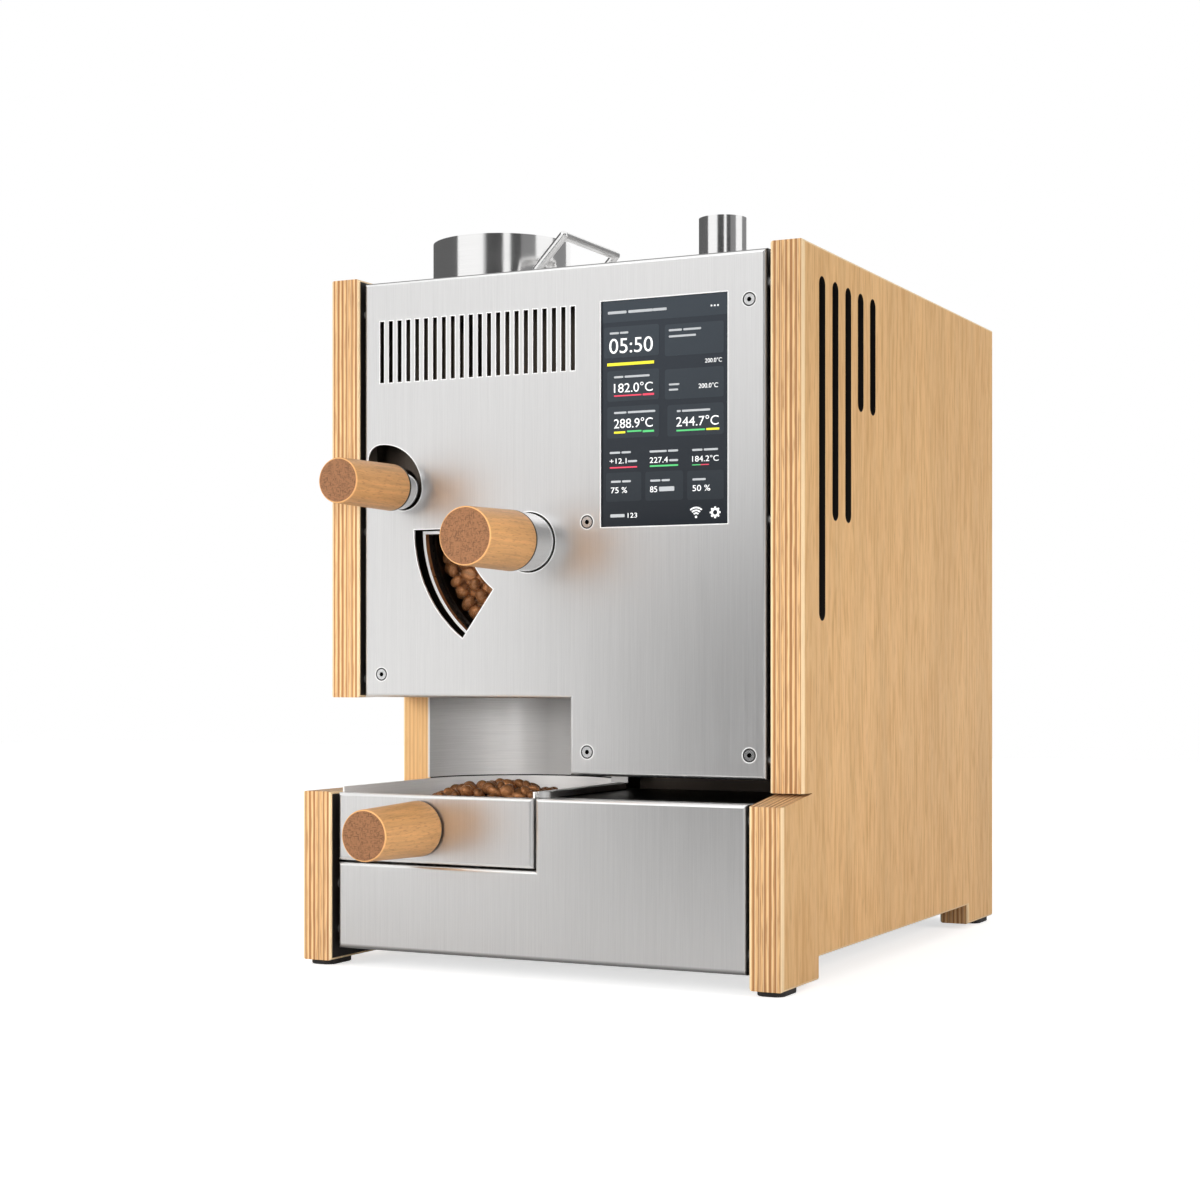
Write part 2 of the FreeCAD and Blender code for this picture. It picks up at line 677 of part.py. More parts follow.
def lever_slot(y0, y1):
    """The teardrop slot: two caps joined by an outer and an inner arc."""
    turn = math.radians(LEVER_TURN)
    low = V(LEVER_X + CRANK + SLOT_LOW_SHIFT[0], y0, LEVER_Z + SLOT_LOW_SHIFT[1])
    high = V(LEVER_X + CRANK * math.cos(turn) + SLOT_HIGH_SHIFT[0], y0,
             LEVER_Z + CRANK * math.sin(turn) + SLOT_HIGH_SHIFT[1])
    outer = meeting(low, SLOT_OUTER_RADIUS - SLOT_LOW_RADIUS, high,
                    SLOT_OUTER_RADIUS - SLOT_HIGH_RADIUS)
    inner = meeting(low, SLOT_INNER_RADIUS + SLOT_LOW_RADIUS, high,
                    SLOT_INNER_RADIUS + SLOT_HIGH_RADIUS)
    a = outer + (low - outer).normalize() * SLOT_OUTER_RADIUS
    b = outer + (high - outer).normalize() * SLOT_OUTER_RADIUS
    c = inner + (high - inner).normalize() * SLOT_INNER_RADIUS
    d = inner + (low - inner).normalize() * SLOT_INNER_RADIUS
    wire = Part.Wire([arc(outer, a, b, 1), arc(high, b, c, 1), arc(inner, c, d, 1),
                      arc(low, d, a, -1)])
    return Part.Face(wire).extrude(V(0, y1 - y0, 0))


def front_panel():
    points = [(-PANEL_X, PANEL_BOTTOM_Z), (STEP_X, PANEL_BOTTOM_Z), (STEP_X, STEP_BOTTOM_Z),
              (PANEL_X, STEP_BOTTOM_Z), (PANEL_X, COVER_Z), (-PANEL_X, COVER_Z)]
    panel = folded_panel(points, PANEL_Y, PANEL_RIM)
    back = PANEL_Y + SHEET
    right = PANEL_X - SCREEN_EDGE_INSET
    top = COVER_Z - SCREEN_TOP_DROP
    cuts = [box(right - SCREEN_WIDTH, right, PANEL_Y, back, top - SCREEN_HEIGHT, top),
            lever_slot(PANEL_Y, back),
            rod_y(SLEEVE_RADIUS + SLEEVE_GAP, SAMPLER_X, SAMPLER_Z, PANEL_Y, back),
            window_sector(WINDOW_INNER, WINDOW_OUTER, 0.0, PANEL_Y, back)]
    cuts += [screw(x, z, RUNNING) for x, z in screw_places()]
    for index in range(SLIT_COUNT):
        x = -PANEL_X + SLIT_LEFT_INSET + index * SLIT_PITCH
        z = COVER_Z - SLIT_TOP_DROP
        cuts.append(box(x, x + SLIT_WIDTH, PANEL_Y, back, z - SLIT_LENGTH, z))
    return panel.cut(group(cuts))


def lower_front_panel():
    edge = DRAWER_RIGHT_X + DRAWER_GAP
    sill = DRAWER_BOTTOM - DRAWER_GAP
    points = [(-PANEL_X, LOWER_PANEL_BOTTOM), (PANEL_X, LOWER_PANEL_BOTTOM),
              (PANEL_X, LOWER_PANEL_TOP), (edge, LOWER_PANEL_TOP), (edge, sill), (-PANEL_X, sill)]
    return folded_panel(points, LOWER_Y, PANEL_RIM)


def top_cover():
    front = PANEL_Y + PANEL_RIM
    cover = box(-PANEL_X, PANEL_X, front, BACK_Y, COVER_UNDER, COVER_Z)
    flanges = [box(x, x + SHEET, front, BACK_Y - SHEET, COVER_UNDER - PANEL_RIM, COVER_UNDER)
               for x in (-PANEL_X, PANEL_X - SHEET)]
    mouth = box(CHAFF_LEFT, CHAFF_RIGHT, CHAFF_FRONT, CHAFF_BACK, COVER_UNDER, COVER_Z)
    holes = [rod_z(HOPPER_RADIUS - HOPPER_WALL, HOPPER_X, HOPPER_Y, COVER_UNDER, COVER_Z),
             rod_z(STUB_RADIUS - SPIGOT_STEP, STUB_X, STUB_Y, COVER_UNDER, COVER_Z), mouth]
    cover = union([cover] + flanges).cut(group(holes))
    ears = []
    for x0, x1 in ((CHAFF_LEFT, CHAFF_LEFT + HINGE_EAR), (CHAFF_RIGHT - HINGE_EAR, CHAFF_RIGHT)):
        ear = box(x0, x1, HINGE_Y - LID_KNUCKLE, HINGE_Y + LID_KNUCKLE, COVER_Z, HINGE_Z)
        ears.append(ear.fuse(rod_x(LID_KNUCKLE, HINGE_Y, HINGE_Z, x0, x1)))
    pin = rod_x(LID_PIN, HINGE_Y, HINGE_Z, CHAFF_LEFT, CHAFF_RIGHT)
    return union([cover] + ears + [pin])


def back_panel():
    panel = box(-INNER_X, INNER_X, BACK_Y - SHEET, BACK_Y, UNDERSIDE_Z, COVER_UNDER)
    cuts = [box(INLET_X - INLET_WIDTH / 2, INLET_X + INLET_WIDTH / 2, BACK_Y - SHEET, BACK_Y,
                INLET_Z - INLET_HEIGHT / 2, INLET_Z + INLET_HEIGHT / 2)]
    reach = BACK_VENT_LENGTH / 2
    for index in range(BACK_VENT_COUNT):
        z = DUCT_Z + (index - (BACK_VENT_COUNT - 1) / 2) * BACK_VENT_PITCH
        cuts.append(box(DUCT_X - reach, DUCT_X + reach, BACK_Y - SHEET, BACK_Y,
                        z - BACK_VENT_HEIGHT / 2, z + BACK_VENT_HEIGHT / 2))
    return panel.cut(group(cuts))


def base_pan():
    top = UNDERSIDE_Z + SHEET
    floor = box(-INNER_X, INNER_X, PAN_FRONT_Y, BACK_Y - SHEET, UNDERSIDE_Z, top)
    front = box(-PANEL_X, PANEL_X, PAN_FRONT_Y, PAN_FRONT_Y + LINER, UNDERSIDE_Z,
                UNDERSIDE_Z + PANEL_RIM)
    reach = PAN_VENT_LENGTH / 2
    slots = []
    for index in range(PAN_VENT_COUNT):
        y = FAN_Y + (index - (PAN_VENT_COUNT - 1) / 2) * PAN_VENT_PITCH - PAN_VENT_WIDTH / 2
        slots.append(box(TRAY_X - reach, TRAY_X + reach, y, y + PAN_VENT_WIDTH, UNDERSIDE_Z, top))
    return floor.fuse(front).removeSplitter().cut(group(slots))


def chute_front(grow):
    """The charge chute's fall between front panel and gate, and its slope from the hopper."""
    low = CHARGE_HOLE + CHUTE_FLARE + grow
    side = CHUTE_WIDTH / 2 + grow
    bend = GATE_ARM + GATE_RADIUS + 2 * STACK_GAP + LEVER_Z
    left, right = HOPPER_X - side, HOPPER_X + side
    ceiling = bend + CHUTE_DEPTH + grow
    points = [(CHARGE_X - low, CHARGE_Z - low), (CHARGE_X + low, CHARGE_Z - low),
              (CHARGE_X + low, CHARGE_Z + low), (right, ceiling), (left, ceiling),
              (left, bend - grow), (CHARGE_X - low, CHARGE_Z + low)]
    fall = prism_y(points, PANEL_Y + SHEET + STACK_GAP + LINER - grow, CHUTE_BACK - LINER + grow)
    y0, y1 = HOPPER_Y - SPOUT_RADIUS - grow, HOPPER_Y + SPOUT_RADIUS + grow
    start = GATE_Y - CHUTE_START
    slope_points = [(start, bend - grow), (y1, SPOUT_Z - CHUTE_LIP - grow), (y1, SPOUT_Z),
                    (y0, SPOUT_Z), (BULKHEAD_BACK, ceiling), (start, ceiling)]
    return fall.fuse(prism_x(slope_points, left, right))


def charge_chute():
    outer = chute_front(LINER)
    spout = rod_z(SPOUT_RADIUS - SPOUT_SEAT, HOPPER_X, HOPPER_Y, SPOUT_Z - CHUTE_LIP - STACK_GAP,
                  SPOUT_Z)
    outlet = rod_y(CHARGE_HOLE, CHARGE_X, CHARGE_Z, GATE_Y - CHUTE_START, GATE_Y)
    return outer.cut(chute_front(0.0)).cut(spout).cut(outlet)


def bulkhead():
    back_drop = box(STEP_X + SHEET, INNER_X, RECESS_BACK_Y - SHEET, RECESS_BACK_Y, DECK_Z,
                    RECESS_TOP_Z + SHEET)
    plate = [box(-INNER_X, INNER_X, BULKHEAD_Y, BULKHEAD_BACK, CEILING_Z,
                 COVER_UNDER - PANEL_RIM - BULKHEAD_TOP_GAP),
             box(STEP_X + SHEET, INNER_X, BULKHEAD_Y, BULKHEAD_BACK, RECESS_TOP_Z, CEILING_Z),
             box(STEP_X + SHEET, INNER_X, BULKHEAD_BACK, RECESS_BACK_Y, RECESS_TOP_Z,
                 RECESS_TOP_Z + SHEET),
             box(-INNER_X, STEP_X + SHEET, BULKHEAD_BACK, TRAY_AXIS_Y + TRAY_RADIUS + LINER,
                 CEILING_Z, CEILING_Z + SHEET), back_drop]
    side = CHUTE_WIDTH / 2 + LINER
    cuts = [window_sector(WINDOW_INNER + WINDOW_LEDGE, WINDOW_OUTER - 2 * WINDOW_RIM,
                          WINDOW_LEDGE + STACK_GAP, BULKHEAD_Y, BULKHEAD_BACK),
            rod_y(SAMPLER_ROD + ROD_GAP, SAMPLER_X, SAMPLER_Z, BULKHEAD_Y, BULKHEAD_BACK),
            rod_y(LEVER_SHAFT + RUNNING, LEVER_X, LEVER_Z, BULKHEAD_Y, BULKHEAD_BACK),
            rod_y(CHARGE_HOLE, CHARGE_X, CHARGE_Z, BULKHEAD_Y, BULKHEAD_BACK),
            door_opening(BULKHEAD_Y, BULKHEAD_BACK),
            chute_front(LINER).common(box(HOPPER_X - side, HOPPER_X + side, BULKHEAD_Y,
                                          BULKHEAD_BACK, CEILING_Z, COVER_UNDER))]
    return union(plate).cut(group(cuts))


def door_opening(y0, y1):
    return box(DOOR_X - DOOR_WIDTH / 2, DOOR_X + DOOR_WIDTH / 2, y0, y1, DRUM_Z - DOOR_DROP,
               DRUM_Z - DOOR_DROP + DOOR_HEIGHT)


def deck_plate():
    left = DRAWER_RIGHT_X + DRAWER_GAP
    deck = box(left, INNER_X, PAN_FRONT_Y, RECESS_BACK_Y, DECK_Z - SHEET, DECK_Z)
    divider = box(DIVIDER_X, DIVIDER_X + SHEET, PAN_FRONT_Y + LINER, RECESS_BACK_Y + DIVIDER_TAIL,
                  UNDERSIDE_Z + SHEET, DECK_Z - SHEET)
    top = DECK_Z + UPSTAND_RISE
    corner_x = STEP_X - UPSTAND_RADIUS
    corner_y = LOWER_Y + UPSTAND_RADIUS + SHEET
    run = box(STEP_X - SHEET, STEP_X, corner_y, RECESS_BACK_Y - UPSTAND_SHORT, DECK_Z, top)
    corner = rod_z(UPSTAND_RADIUS, corner_x, corner_y, DECK_Z, top)
    corner = corner.cut(rod_z(UPSTAND_RADIUS - SHEET, corner_x, corner_y, DECK_Z, top))
    corner = corner.common(box(corner_x, STEP_X, LOWER_Y, corner_y, DECK_Z, top))
    upstand = run.fuse(corner).cut(box(-FAR, FAR, LOWER_Y, PAN_FRONT_Y, 0, LOWER_PANEL_TOP))
    return union([deck, divider, upstand])


def bay_wall():
    """The curved wall behind the tray, and the straight wall on its right."""
    top = CEILING_Z
    ring = tray_plan(LINER, LINER_BASE, top).cut(tray_plan(0.0, LINER_BASE, top))
    ring = ring.cut(box(-FAR, FAR, -FAR, TRAY_AXIS_Y, LINER_BASE, top))
    jog = box(TRAY_RIGHT_X, STEP_X + SHEET, TRAY_AXIS_Y - LINER, TRAY_AXIS_Y, LINER_BASE, top)
    side = box(STEP_X, STEP_X + SHEET, BULKHEAD_Y, TRAY_AXIS_Y, RECESS_TOP_Z + SHEET, top)
    return union([ring, jog, side])


def panel_spacers():
    """Washers between the folded edges and the wood, and pillars behind the screws."""
    upper_y = PANEL_Y + PANEL_RIM / 2
    lower_y = LOWER_Y + PANEL_RIM / 2
    cover_z = COVER_UNDER - PANEL_RIM / 2
    front, back = COVER_SPACER_INSETS
    shared = [(upper_y, COVER_Z - SPACER_TOP_DROP), (upper_y, DRUM_Z),
              (lower_y, LOWER_PANEL_BOTTOM + SPACER_RISE), (PANEL_Y + front, cover_z),
              (BACK_Y - back, cover_z)]
    right = shared + [(upper_y, STEP_BOTTOM_Z + SPACER_RISE),
                      (lower_y, LOWER_PANEL_TOP - SPACER_LOW_DROP)]
    left = shared + [(upper_y, PANEL_BOTTOM_Z + SPACER_RISE),
                     (lower_y, DRAWER_BOTTOM - SPACER_DRAWER_DROP)]
    pieces = [rod_x(SPACER_RADIUS, y, z, PANEL_X, INNER_X) for y, z in right]
    pieces += [rod_x(SPACER_RADIUS, y, z, -INNER_X, -PANEL_X) for y, z in left]
    for x, z in screw_places():
        pillar = rod_y(PILLAR_RADIUS, x, z, PANEL_Y + SHEET, BULKHEAD_Y)
        pieces.append(pillar.cut(screw(x, z, RUNNING)))
    return group(pieces)


def front_screws():
    pieces = []
    for x, z in screw_places():
        corners = []
        for turn in range(SOCKET_SIDES):
            angle = 2 * math.pi * turn / SOCKET_SIDES
            corners.append((x + SOCKET_RADIUS * math.cos(angle), z + SOCKET_RADIUS * math.sin(angle)))
        pieces.append(screw(x, z).cut(prism_y(corners, PANEL_Y, PANEL_Y + SOCKET_DEPTH)))
    return group(pieces)


def rubber_feet():
    front_y = LOWER_FRONT_Y + PAD_INSET
    back_y = BODY_BACK_Y - PAD_INSET - PAD_LENGTH
    pads = []
    for side in (-1, 1):
        x = side * (INNER_X + SIDE_THICKNESS / 2)
        for y in (front_y, back_y):
            pad = box(x - PAD_WIDTH / 2, x + PAD_WIDTH / 2, y, y + PAD_LENGTH, 0.0, PAD_HEIGHT)
            pad = rounded(pad, PAD_CORNER, lambda b: b.ZLength > PAD_HEIGHT - TOUCH)
            pads.append(rounded(pad, PAD_EDGE_RADIUS, lambda b: b.ZMax < TOUCH))
    return group(pads)


def window_frame():
    front = BULKHEAD_Y - WINDOW_DEPTH
    outer = window_sector(WINDOW_INNER - WINDOW_RIM, WINDOW_OUTER - FRAME_GAP, FRAME_SETBACK, front,
                          BULKHEAD_Y)
    inner = window_sector(WINDOW_INNER, WINDOW_OUTER - FRAME_GAP - WINDOW_RIM,
                          WINDOW_RIM + FRAME_SETBACK, front, BULKHEAD_Y)
    return outer.cut(inner)


def sight_glass():
    return window_sector(WINDOW_INNER + RUNNING, WINDOW_OUTER - FRAME_GAP - WINDOW_RIM - RUNNING,
                         WINDOW_RIM + FRAME_SETBACK + RUNNING, BULKHEAD_Y - GLASS_THICKNESS,
                         BULKHEAD_Y)


def drum_shape():
    """Open-fronted drum with lifting vanes, a pierced back and its shaft."""
    axis = (DRUM_X, DRUM_Z)
    back = DRUM_BACK - DRUM_WALL
    shell = rod_y(DRUM_RADIUS + DRUM_WALL, *axis, DRUM_FRONT, DRUM_BACK)
    shell = shell.cut(rod_y(DRUM_RADIUS, *axis, DRUM_FRONT, back))
    holes = []
    vanes = []
    for turn in range(VANE_COUNT):
        x, z = polar(DRUM_RADIUS - DRUM_HOLE_INSET, turn * 360.0 / VANE_COUNT)
        holes.append(rod_y(DRUM_HOLE_RADIUS, x, z, back, DRUM_BACK))
        vane = box(DRUM_X + DRUM_RADIUS - VANE_HEIGHT, DRUM_X + DRUM_RADIUS + DRUM_WALL / 2,
                   DRUM_FRONT + BED_LENGTH + VANE_BED_GAP, back, DRUM_Z - DRUM_WALL / 2,
                   DRUM_Z + DRUM_WALL / 2)
        vane.rotate(V(DRUM_X, 0, DRUM_Z), V(0, 1, 0), (turn + 0.5) * 360.0 / VANE_COUNT)
        vanes.append(vane)
    hub = rod_y(BEARING_RADIUS, *axis, DRUM_BACK, DRUM_BACK + HOUSING_END_GAP / 2)
    shaft = rod_y(SHAFT_RADIUS, *axis, DRUM_BACK, PULLEY_Y + BELT_WIDTH + SHAFT_END)
    return union([shell.cut(group(holes))] + vanes + [hub, shaft])


def drum_housing():
    axis = (DRUM_X, DRUM_Z)
    inner = HOUSING_OUTER - HOUSING_WALL
    can = rod_y(HOUSING_OUTER, *axis, BULKHEAD_BACK, HOUSING_BACK)
    can = can.cut(rod_y(inner, *axis, BULKHEAD_BACK, HOUSING_BACK - HOUSING_WALL))
    boss = rod_y(BEARING_RADIUS + BOSS_WALL, *axis, HOUSING_BACK, BOSS_BACK)
    bore = rod_y(BEARING_RADIUS, *axis, HOUSING_BACK, BOSS_BACK)
    passage = rod_y(SHAFT_RADIUS + SHAFT_GAP, *axis, HOUSING_BACK - HOUSING_WALL, HOUSING_BACK)
    air_in = rod_y(DUCT_RADIUS - SHEET, DUCT_X, DUCT_Z, HOUSING_BACK - HOUSING_WALL, HOUSING_BACK)
    air_out = rod_z(CHAFF_PORT, DRUM_X, (BULKHEAD_BACK + HOUSING_BACK) / 2, DRUM_Z,
                    DRUM_Z + HOUSING_OUTER)
    return can.fuse(boss).removeSplitter().cut(group([bore, passage, air_in, air_out]))


def drum_bearings():
    rings = []
    for y in (HOUSING_BACK, BOSS_BACK - BEARING_WIDTH):
        ring = rod_y(BEARING_RADIUS, DRUM_X, DRUM_Z, y, y + BEARING_WIDTH)
        rings.append(ring.cut(rod_y(SHAFT_RADIUS + RUNNING, DRUM_X, DRUM_Z, y, y + BEARING_WIDTH)))
    return group(rings)


def drum_bed():
    """The bean bed as it rides up the drum's wall: a segment cut by a slanting chord."""
    bed = rod_y(DRUM_RADIUS - FREE, DRUM_X, DRUM_Z, DRUM_FRONT, DRUM_FRONT + BED_LENGTH)
    x, z = polar(BED_CHORD, BED_TILT)
    cutter = box(-FAR, FAR, -FAR, FAR, 0, FAR)
    cutter.rotate(V(0, 0, 0), V(0, 1, 0), -(BED_TILT + 90.0))
    cutter.translate(V(x, 0, z))
    return bed.cut(cutter)


def pulley(radius, bore, x, z):
    y0, y1 = PULLEY_Y - PULLEY_LIP, PULLEY_Y + BELT_WIDTH + PULLEY_LIP
    core = rod_y(radius, x, z, y0, y1)
    lips = [rod_y(radius + BELT_THICKNESS, x, z, y, y + PULLEY_LIP - FREE)
            for y in (y0, y1 - PULLEY_LIP + FREE)]
    return union([core] + lips).cut(rod_y(bore, x, z, y0, y1))


def belt_band(extra, y0, y1):
    """The outline of a belt round both pulleys, its inside grown by extra."""
    big = DRUM_PULLEY + extra
    small = MOTOR_PULLEY + extra
    a = V(DRUM_X, y0, DRUM_Z)
    b = V(MOTOR_X, y0, MOTOR_Z)
    span = (b - a).Length
    unit = (b - a).normalize()
    normal = V(-unit.z, 0, unit.x)
    lean = (big - small) / span
    corners = []
    for side in (1, -1):
        out = unit * lean + normal * (side * math.sqrt(1 - lean ** 2))
        corners.append((a + out * big, b + out * small))
    (a1, b1), (a2, b2) = corners
    wire = Part.Wire([Part.LineSegment(a1, b1).toShape(), arc_through(b, b1, b2, unit, small),
                      Part.LineSegment(b2, a2).toShape(), arc_through(a, a2, a1, unit * -1, big)])
    return Part.Face(wire).extrude(V(0, y1 - y0, 0))


def arc_through(centre, start, end, direction, radius):
    return Part.Arc(start, centre + direction * radius, end).toShape()


def drive_belt():
    y0 = PULLEY_Y + FREE
    y1 = PULLEY_Y + BELT_WIDTH - FREE
    return belt_band(FREE + BELT_THICKNESS, y0, y1).cut(belt_band(FREE, y0, y1))


def drum_gearmotor():
    low, high = MOTOR_Z - BRACKET_HEIGHT / 2, MOTOR_Z + BRACKET_HEIGHT / 2
    can = rod_y(GEARMOTOR_RADIUS, MOTOR_X, MOTOR_Z, BRACKET_Y + SHEET, BRACKET_Y + GEARMOTOR_LENGTH)
    plate = box(-INNER_X, MOTOR_X + BRACKET_REACH, BRACKET_Y, BRACKET_Y + SHEET, low, high)
    foot = box(-INNER_X, -INNER_X + SHEET, BRACKET_Y, BRACKET_Y + BRACKET_FOOT, low, high)
    socket = rod_y(AXLE_RADIUS + RUNNING, MOTOR_X, MOTOR_Z, BRACKET_Y, BRACKET_Y + AXLE_GRIP)
    return union([can, plate, foot]).cut(socket)


def motor_pulley():
    axle = rod_y(AXLE_RADIUS, MOTOR_X, MOTOR_Z, PULLEY_Y, BRACKET_Y + AXLE_GRIP - STACK_GAP)
    return union([pulley(MOTOR_PULLEY, AXLE_RADIUS, MOTOR_X, MOTOR_Z), axle])


def hot_air_duct():
    axis = (DUCT_X, DUCT_Z)
    tube = rod_y(DUCT_RADIUS, *axis, HOUSING_BACK, DUCT_BACK)
    wide = rod_y(BLOWER_RADIUS, *axis, DUCT_BACK, BLOWER_BACK)
    flange = rod_y(DUCT_RADIUS + DUCT_FLANGE, *axis, HOUSING_BACK, HOUSING_BACK + SHEET)
    flange = flange.cut(rod_y(BEARING_RADIUS + BOSS_WALL + STACK_GAP, DRUM_X, DRUM_Z, HOUSING_BACK,
                              BOSS_BACK))
    inner = rod_y(DUCT_RADIUS - SHEET, *axis, HOUSING_BACK, BLOWER_BACK)
    hollow = rod_y(BLOWER_RADIUS - SHEET, *axis, DUCT_BACK + SHEET, BLOWER_BACK)
    body = union([tube, wide, flange]).cut(inner).cut(hollow)
    mid = BLOWER_BACK - MOTOR_LENGTH / 2
    y0, y1 = mid - MOTOR_RING / 2, mid + MOTOR_RING / 2
    arms = []
    for turn in range(MOTOR_ARMS):
        arm = box(DUCT_X + MOTOR_RADIUS, DUCT_X + BLOWER_RADIUS - SHEET / 2, y0, y1,
                  DUCT_Z - MOTOR_ARM_WIDTH / 2, DUCT_Z + MOTOR_ARM_WIDTH / 2)
        arm.rotate(V(DUCT_X, 0, DUCT_Z), V(0, 1, 0), 90.0 + turn * 360.0 / MOTOR_ARMS)
        arms.append(arm)
    ring = rod_y(MOTOR_RADIUS + SHEET, *axis, y0, y1)
    arms = union([ring] + arms).cut(rod_y(MOTOR_RADIUS, *axis, y0, y1))
    return union([body, arms])


def heater_element():
    radius = DUCT_RADIUS - SHEET
    front = HOUSING_BACK + HEATER_FRONT_GAP
    back = DUCT_BACK - HEATER_BACK_GAP
    reach = radius - FREE
    half = MICA / 2
    plates = [box(DUCT_X - reach, DUCT_X + reach, front, back, DUCT_Z - half, DUCT_Z + half),
              box(DUCT_X - half, DUCT_X + half, front, back, DUCT_Z - reach, DUCT_Z + reach)]
    rings = []
    for index in range(HEATER_FINS):
        y = front + (index + 0.5) * (back - front) / HEATER_FINS
        rings.append(Part.makeTorus(radius - COIL_INSET, HEATER_WIRE, V(DUCT_X, y, DUCT_Z), V(0, 1, 0)))
    return union(plates + rings)


def fan_motors():
    blower = rod_y(MOTOR_RADIUS, DUCT_X, DUCT_Z, MOTOR_FRONT, BLOWER_BACK)
    blower = blower.cut(rod_y(AXLE_RADIUS + RUNNING, DUCT_X, DUCT_Z, MOTOR_FRONT,
                              MOTOR_FRONT + FAN_AXLE_GRIP))
    exhaust = rod_x(MOTOR_RADIUS, EXHAUST_Y, EXHAUST_Z, EXHAUST_RIGHT, EXHAUST_RIGHT + MOTOR_LENGTH)
    exhaust = exhaust.cut(rod_x(AXLE_RADIUS + RUNNING, EXHAUST_Y, EXHAUST_Z, EXHAUST_RIGHT,
                                EXHAUST_RIGHT + FAN_AXLE_GRIP))
    return group([blower, exhaust])


def rotor(radius, hub, width, count, pitch):
    """A bladed wheel on the Z axis, its hub from z = 0 to width."""
    half = BLADE_THICKNESS / 2
    blades = []
    for index in range(count):
        blade = box(hub - BLADE_ROOT, radius, -half, half, BLADE_ROOT, width - BLADE_ROOT)
        blade.rotate(V(hub, 0, width / 2), V(1, 0, 0), pitch)
        blade.rotate(V(0, 0, 0), V(0, 0, 1), index * 360.0 / count)
        blades.append(blade)
    return union([rod_z(hub, 0, 0, 0, width)] + blades)


def blower_impeller():
    wheel = rotor(BLOWER_RADIUS - SHEET - BLOWER_TIP_GAP, BLOWER_HUB, BLOWER_WIDTH, BLADES,
                  BLOWER_PITCH)
    wheel.rotate(V(0, 0, 0), V(1, 0, 0), -90.0)
    front = MOTOR_FRONT - BLOWER_MOTOR_GAP - BLOWER_WIDTH
    wheel.translate(V(DUCT_X, front, DUCT_Z))
    return wheel.fuse(rod_y(AXLE_RADIUS, DUCT_X, DUCT_Z, front + BLOWER_WIDTH - BLADE_ROOT / 2,
                            MOTOR_FRONT + FAN_AXLE_GRIP - STACK_GAP))


def exhaust_fan_housing():
    y, z = EXHAUST_Y, EXHAUST_Z
    top = COVER_UNDER - COVER_GAP
    x0, x1 = EXHAUST_LEFT_X, EXHAUST_RIGHT
    outlet = (STUB_Y - STUB_RADIUS - SHEET, STUB_Y + STUB_RADIUS + SHEET)
    outer = rod_x(EXHAUST_RADIUS, y, z, x0, x1).fuse(box(x0, x1, *outlet, z, top))
    inner = rod_x(EXHAUST_RADIUS - SHEET, y, z, x0 + SHEET, x1 - SHEET)
    inner = inner.fuse(box(x0 + SHEET, x1 - SHEET, outlet[0] + SHEET, outlet[1] - SHEET, z, top))
    inlet = rod_x(SPOUT_RADIUS, y, z, CHAFF_RIGHT, x0 + SHEET)
    collar = rod_x(SPOUT_RADIUS + LINER, y, z, CHAFF_RIGHT + LINER, x0)
    shaft = rod_x(AXLE_RADIUS + STACK_GAP, y, z, x1 - SHEET, x1)
    return outer.fuse(collar).removeSplitter().cut(inner).cut(inlet).cut(shaft)


def exhaust_impeller():
    wheel = rotor(EXHAUST_RADIUS - SHEET - EXHAUST_TIP_GAP, EXHAUST_HUB, EXHAUST_WIDTH, BLADES, 0.0)
    wheel.rotate(V(0, 0, 0), V(0, 1, 0), 90.0)
    left = EXHAUST_LEFT_X + EXHAUST_SIDE_GAP
    wheel.translate(V(left, EXHAUST_Y, EXHAUST_Z))
    return wheel.fuse(rod_x(AXLE_RADIUS, EXHAUST_Y, EXHAUST_Z, left + EXHAUST_WIDTH - BLADE_ROOT,
                            EXHAUST_RIGHT + FAN_AXLE_GRIP - STACK_GAP))


def exhaust_stub():
    base = COVER_UNDER - SPIGOT_LENGTH
    top = COVER_Z + STUB_HEIGHT
    tube = rod_z(STUB_RADIUS, STUB_X, STUB_Y, COVER_Z, top)
    spigot = rod_z(STUB_RADIUS - SPIGOT_STEP, STUB_X, STUB_Y, base, COVER_Z)
    bore = rod_z(STUB_RADIUS - STUB_WALL, STUB_X, STUB_Y, base, top)
    return union([tube, spigot]).cut(bore)


def hopper():
    top = COVER_Z + HOPPER_HEIGHT
    throat = COVER_Z + THROAT_RISE
    centre = (HOPPER_X, HOPPER_Y)
    ring = rod_z(HOPPER_RADIUS, *centre, COVER_Z, top)
    bowl = rod_z(HOPPER_RADIUS - HOPPER_WALL, *centre, throat, top)
    outer_cone = Part.makeCone(SPOUT_RADIUS, HOPPER_RADIUS - HOPPER_WALL - RUNNING,
                               COVER_Z - SPOUT_Z, V(*centre, SPOUT_Z), V(0, 0, 1))
    inner_cone = Part.makeCone(SPOUT_RADIUS - HOPPER_WALL, HOPPER_RADIUS - HOPPER_WALL,
                               throat - SPOUT_Z, V(*centre, SPOUT_Z), V(0, 0, 1))
    return union([ring, outer_cone]).cut(bowl).cut(inner_cone)


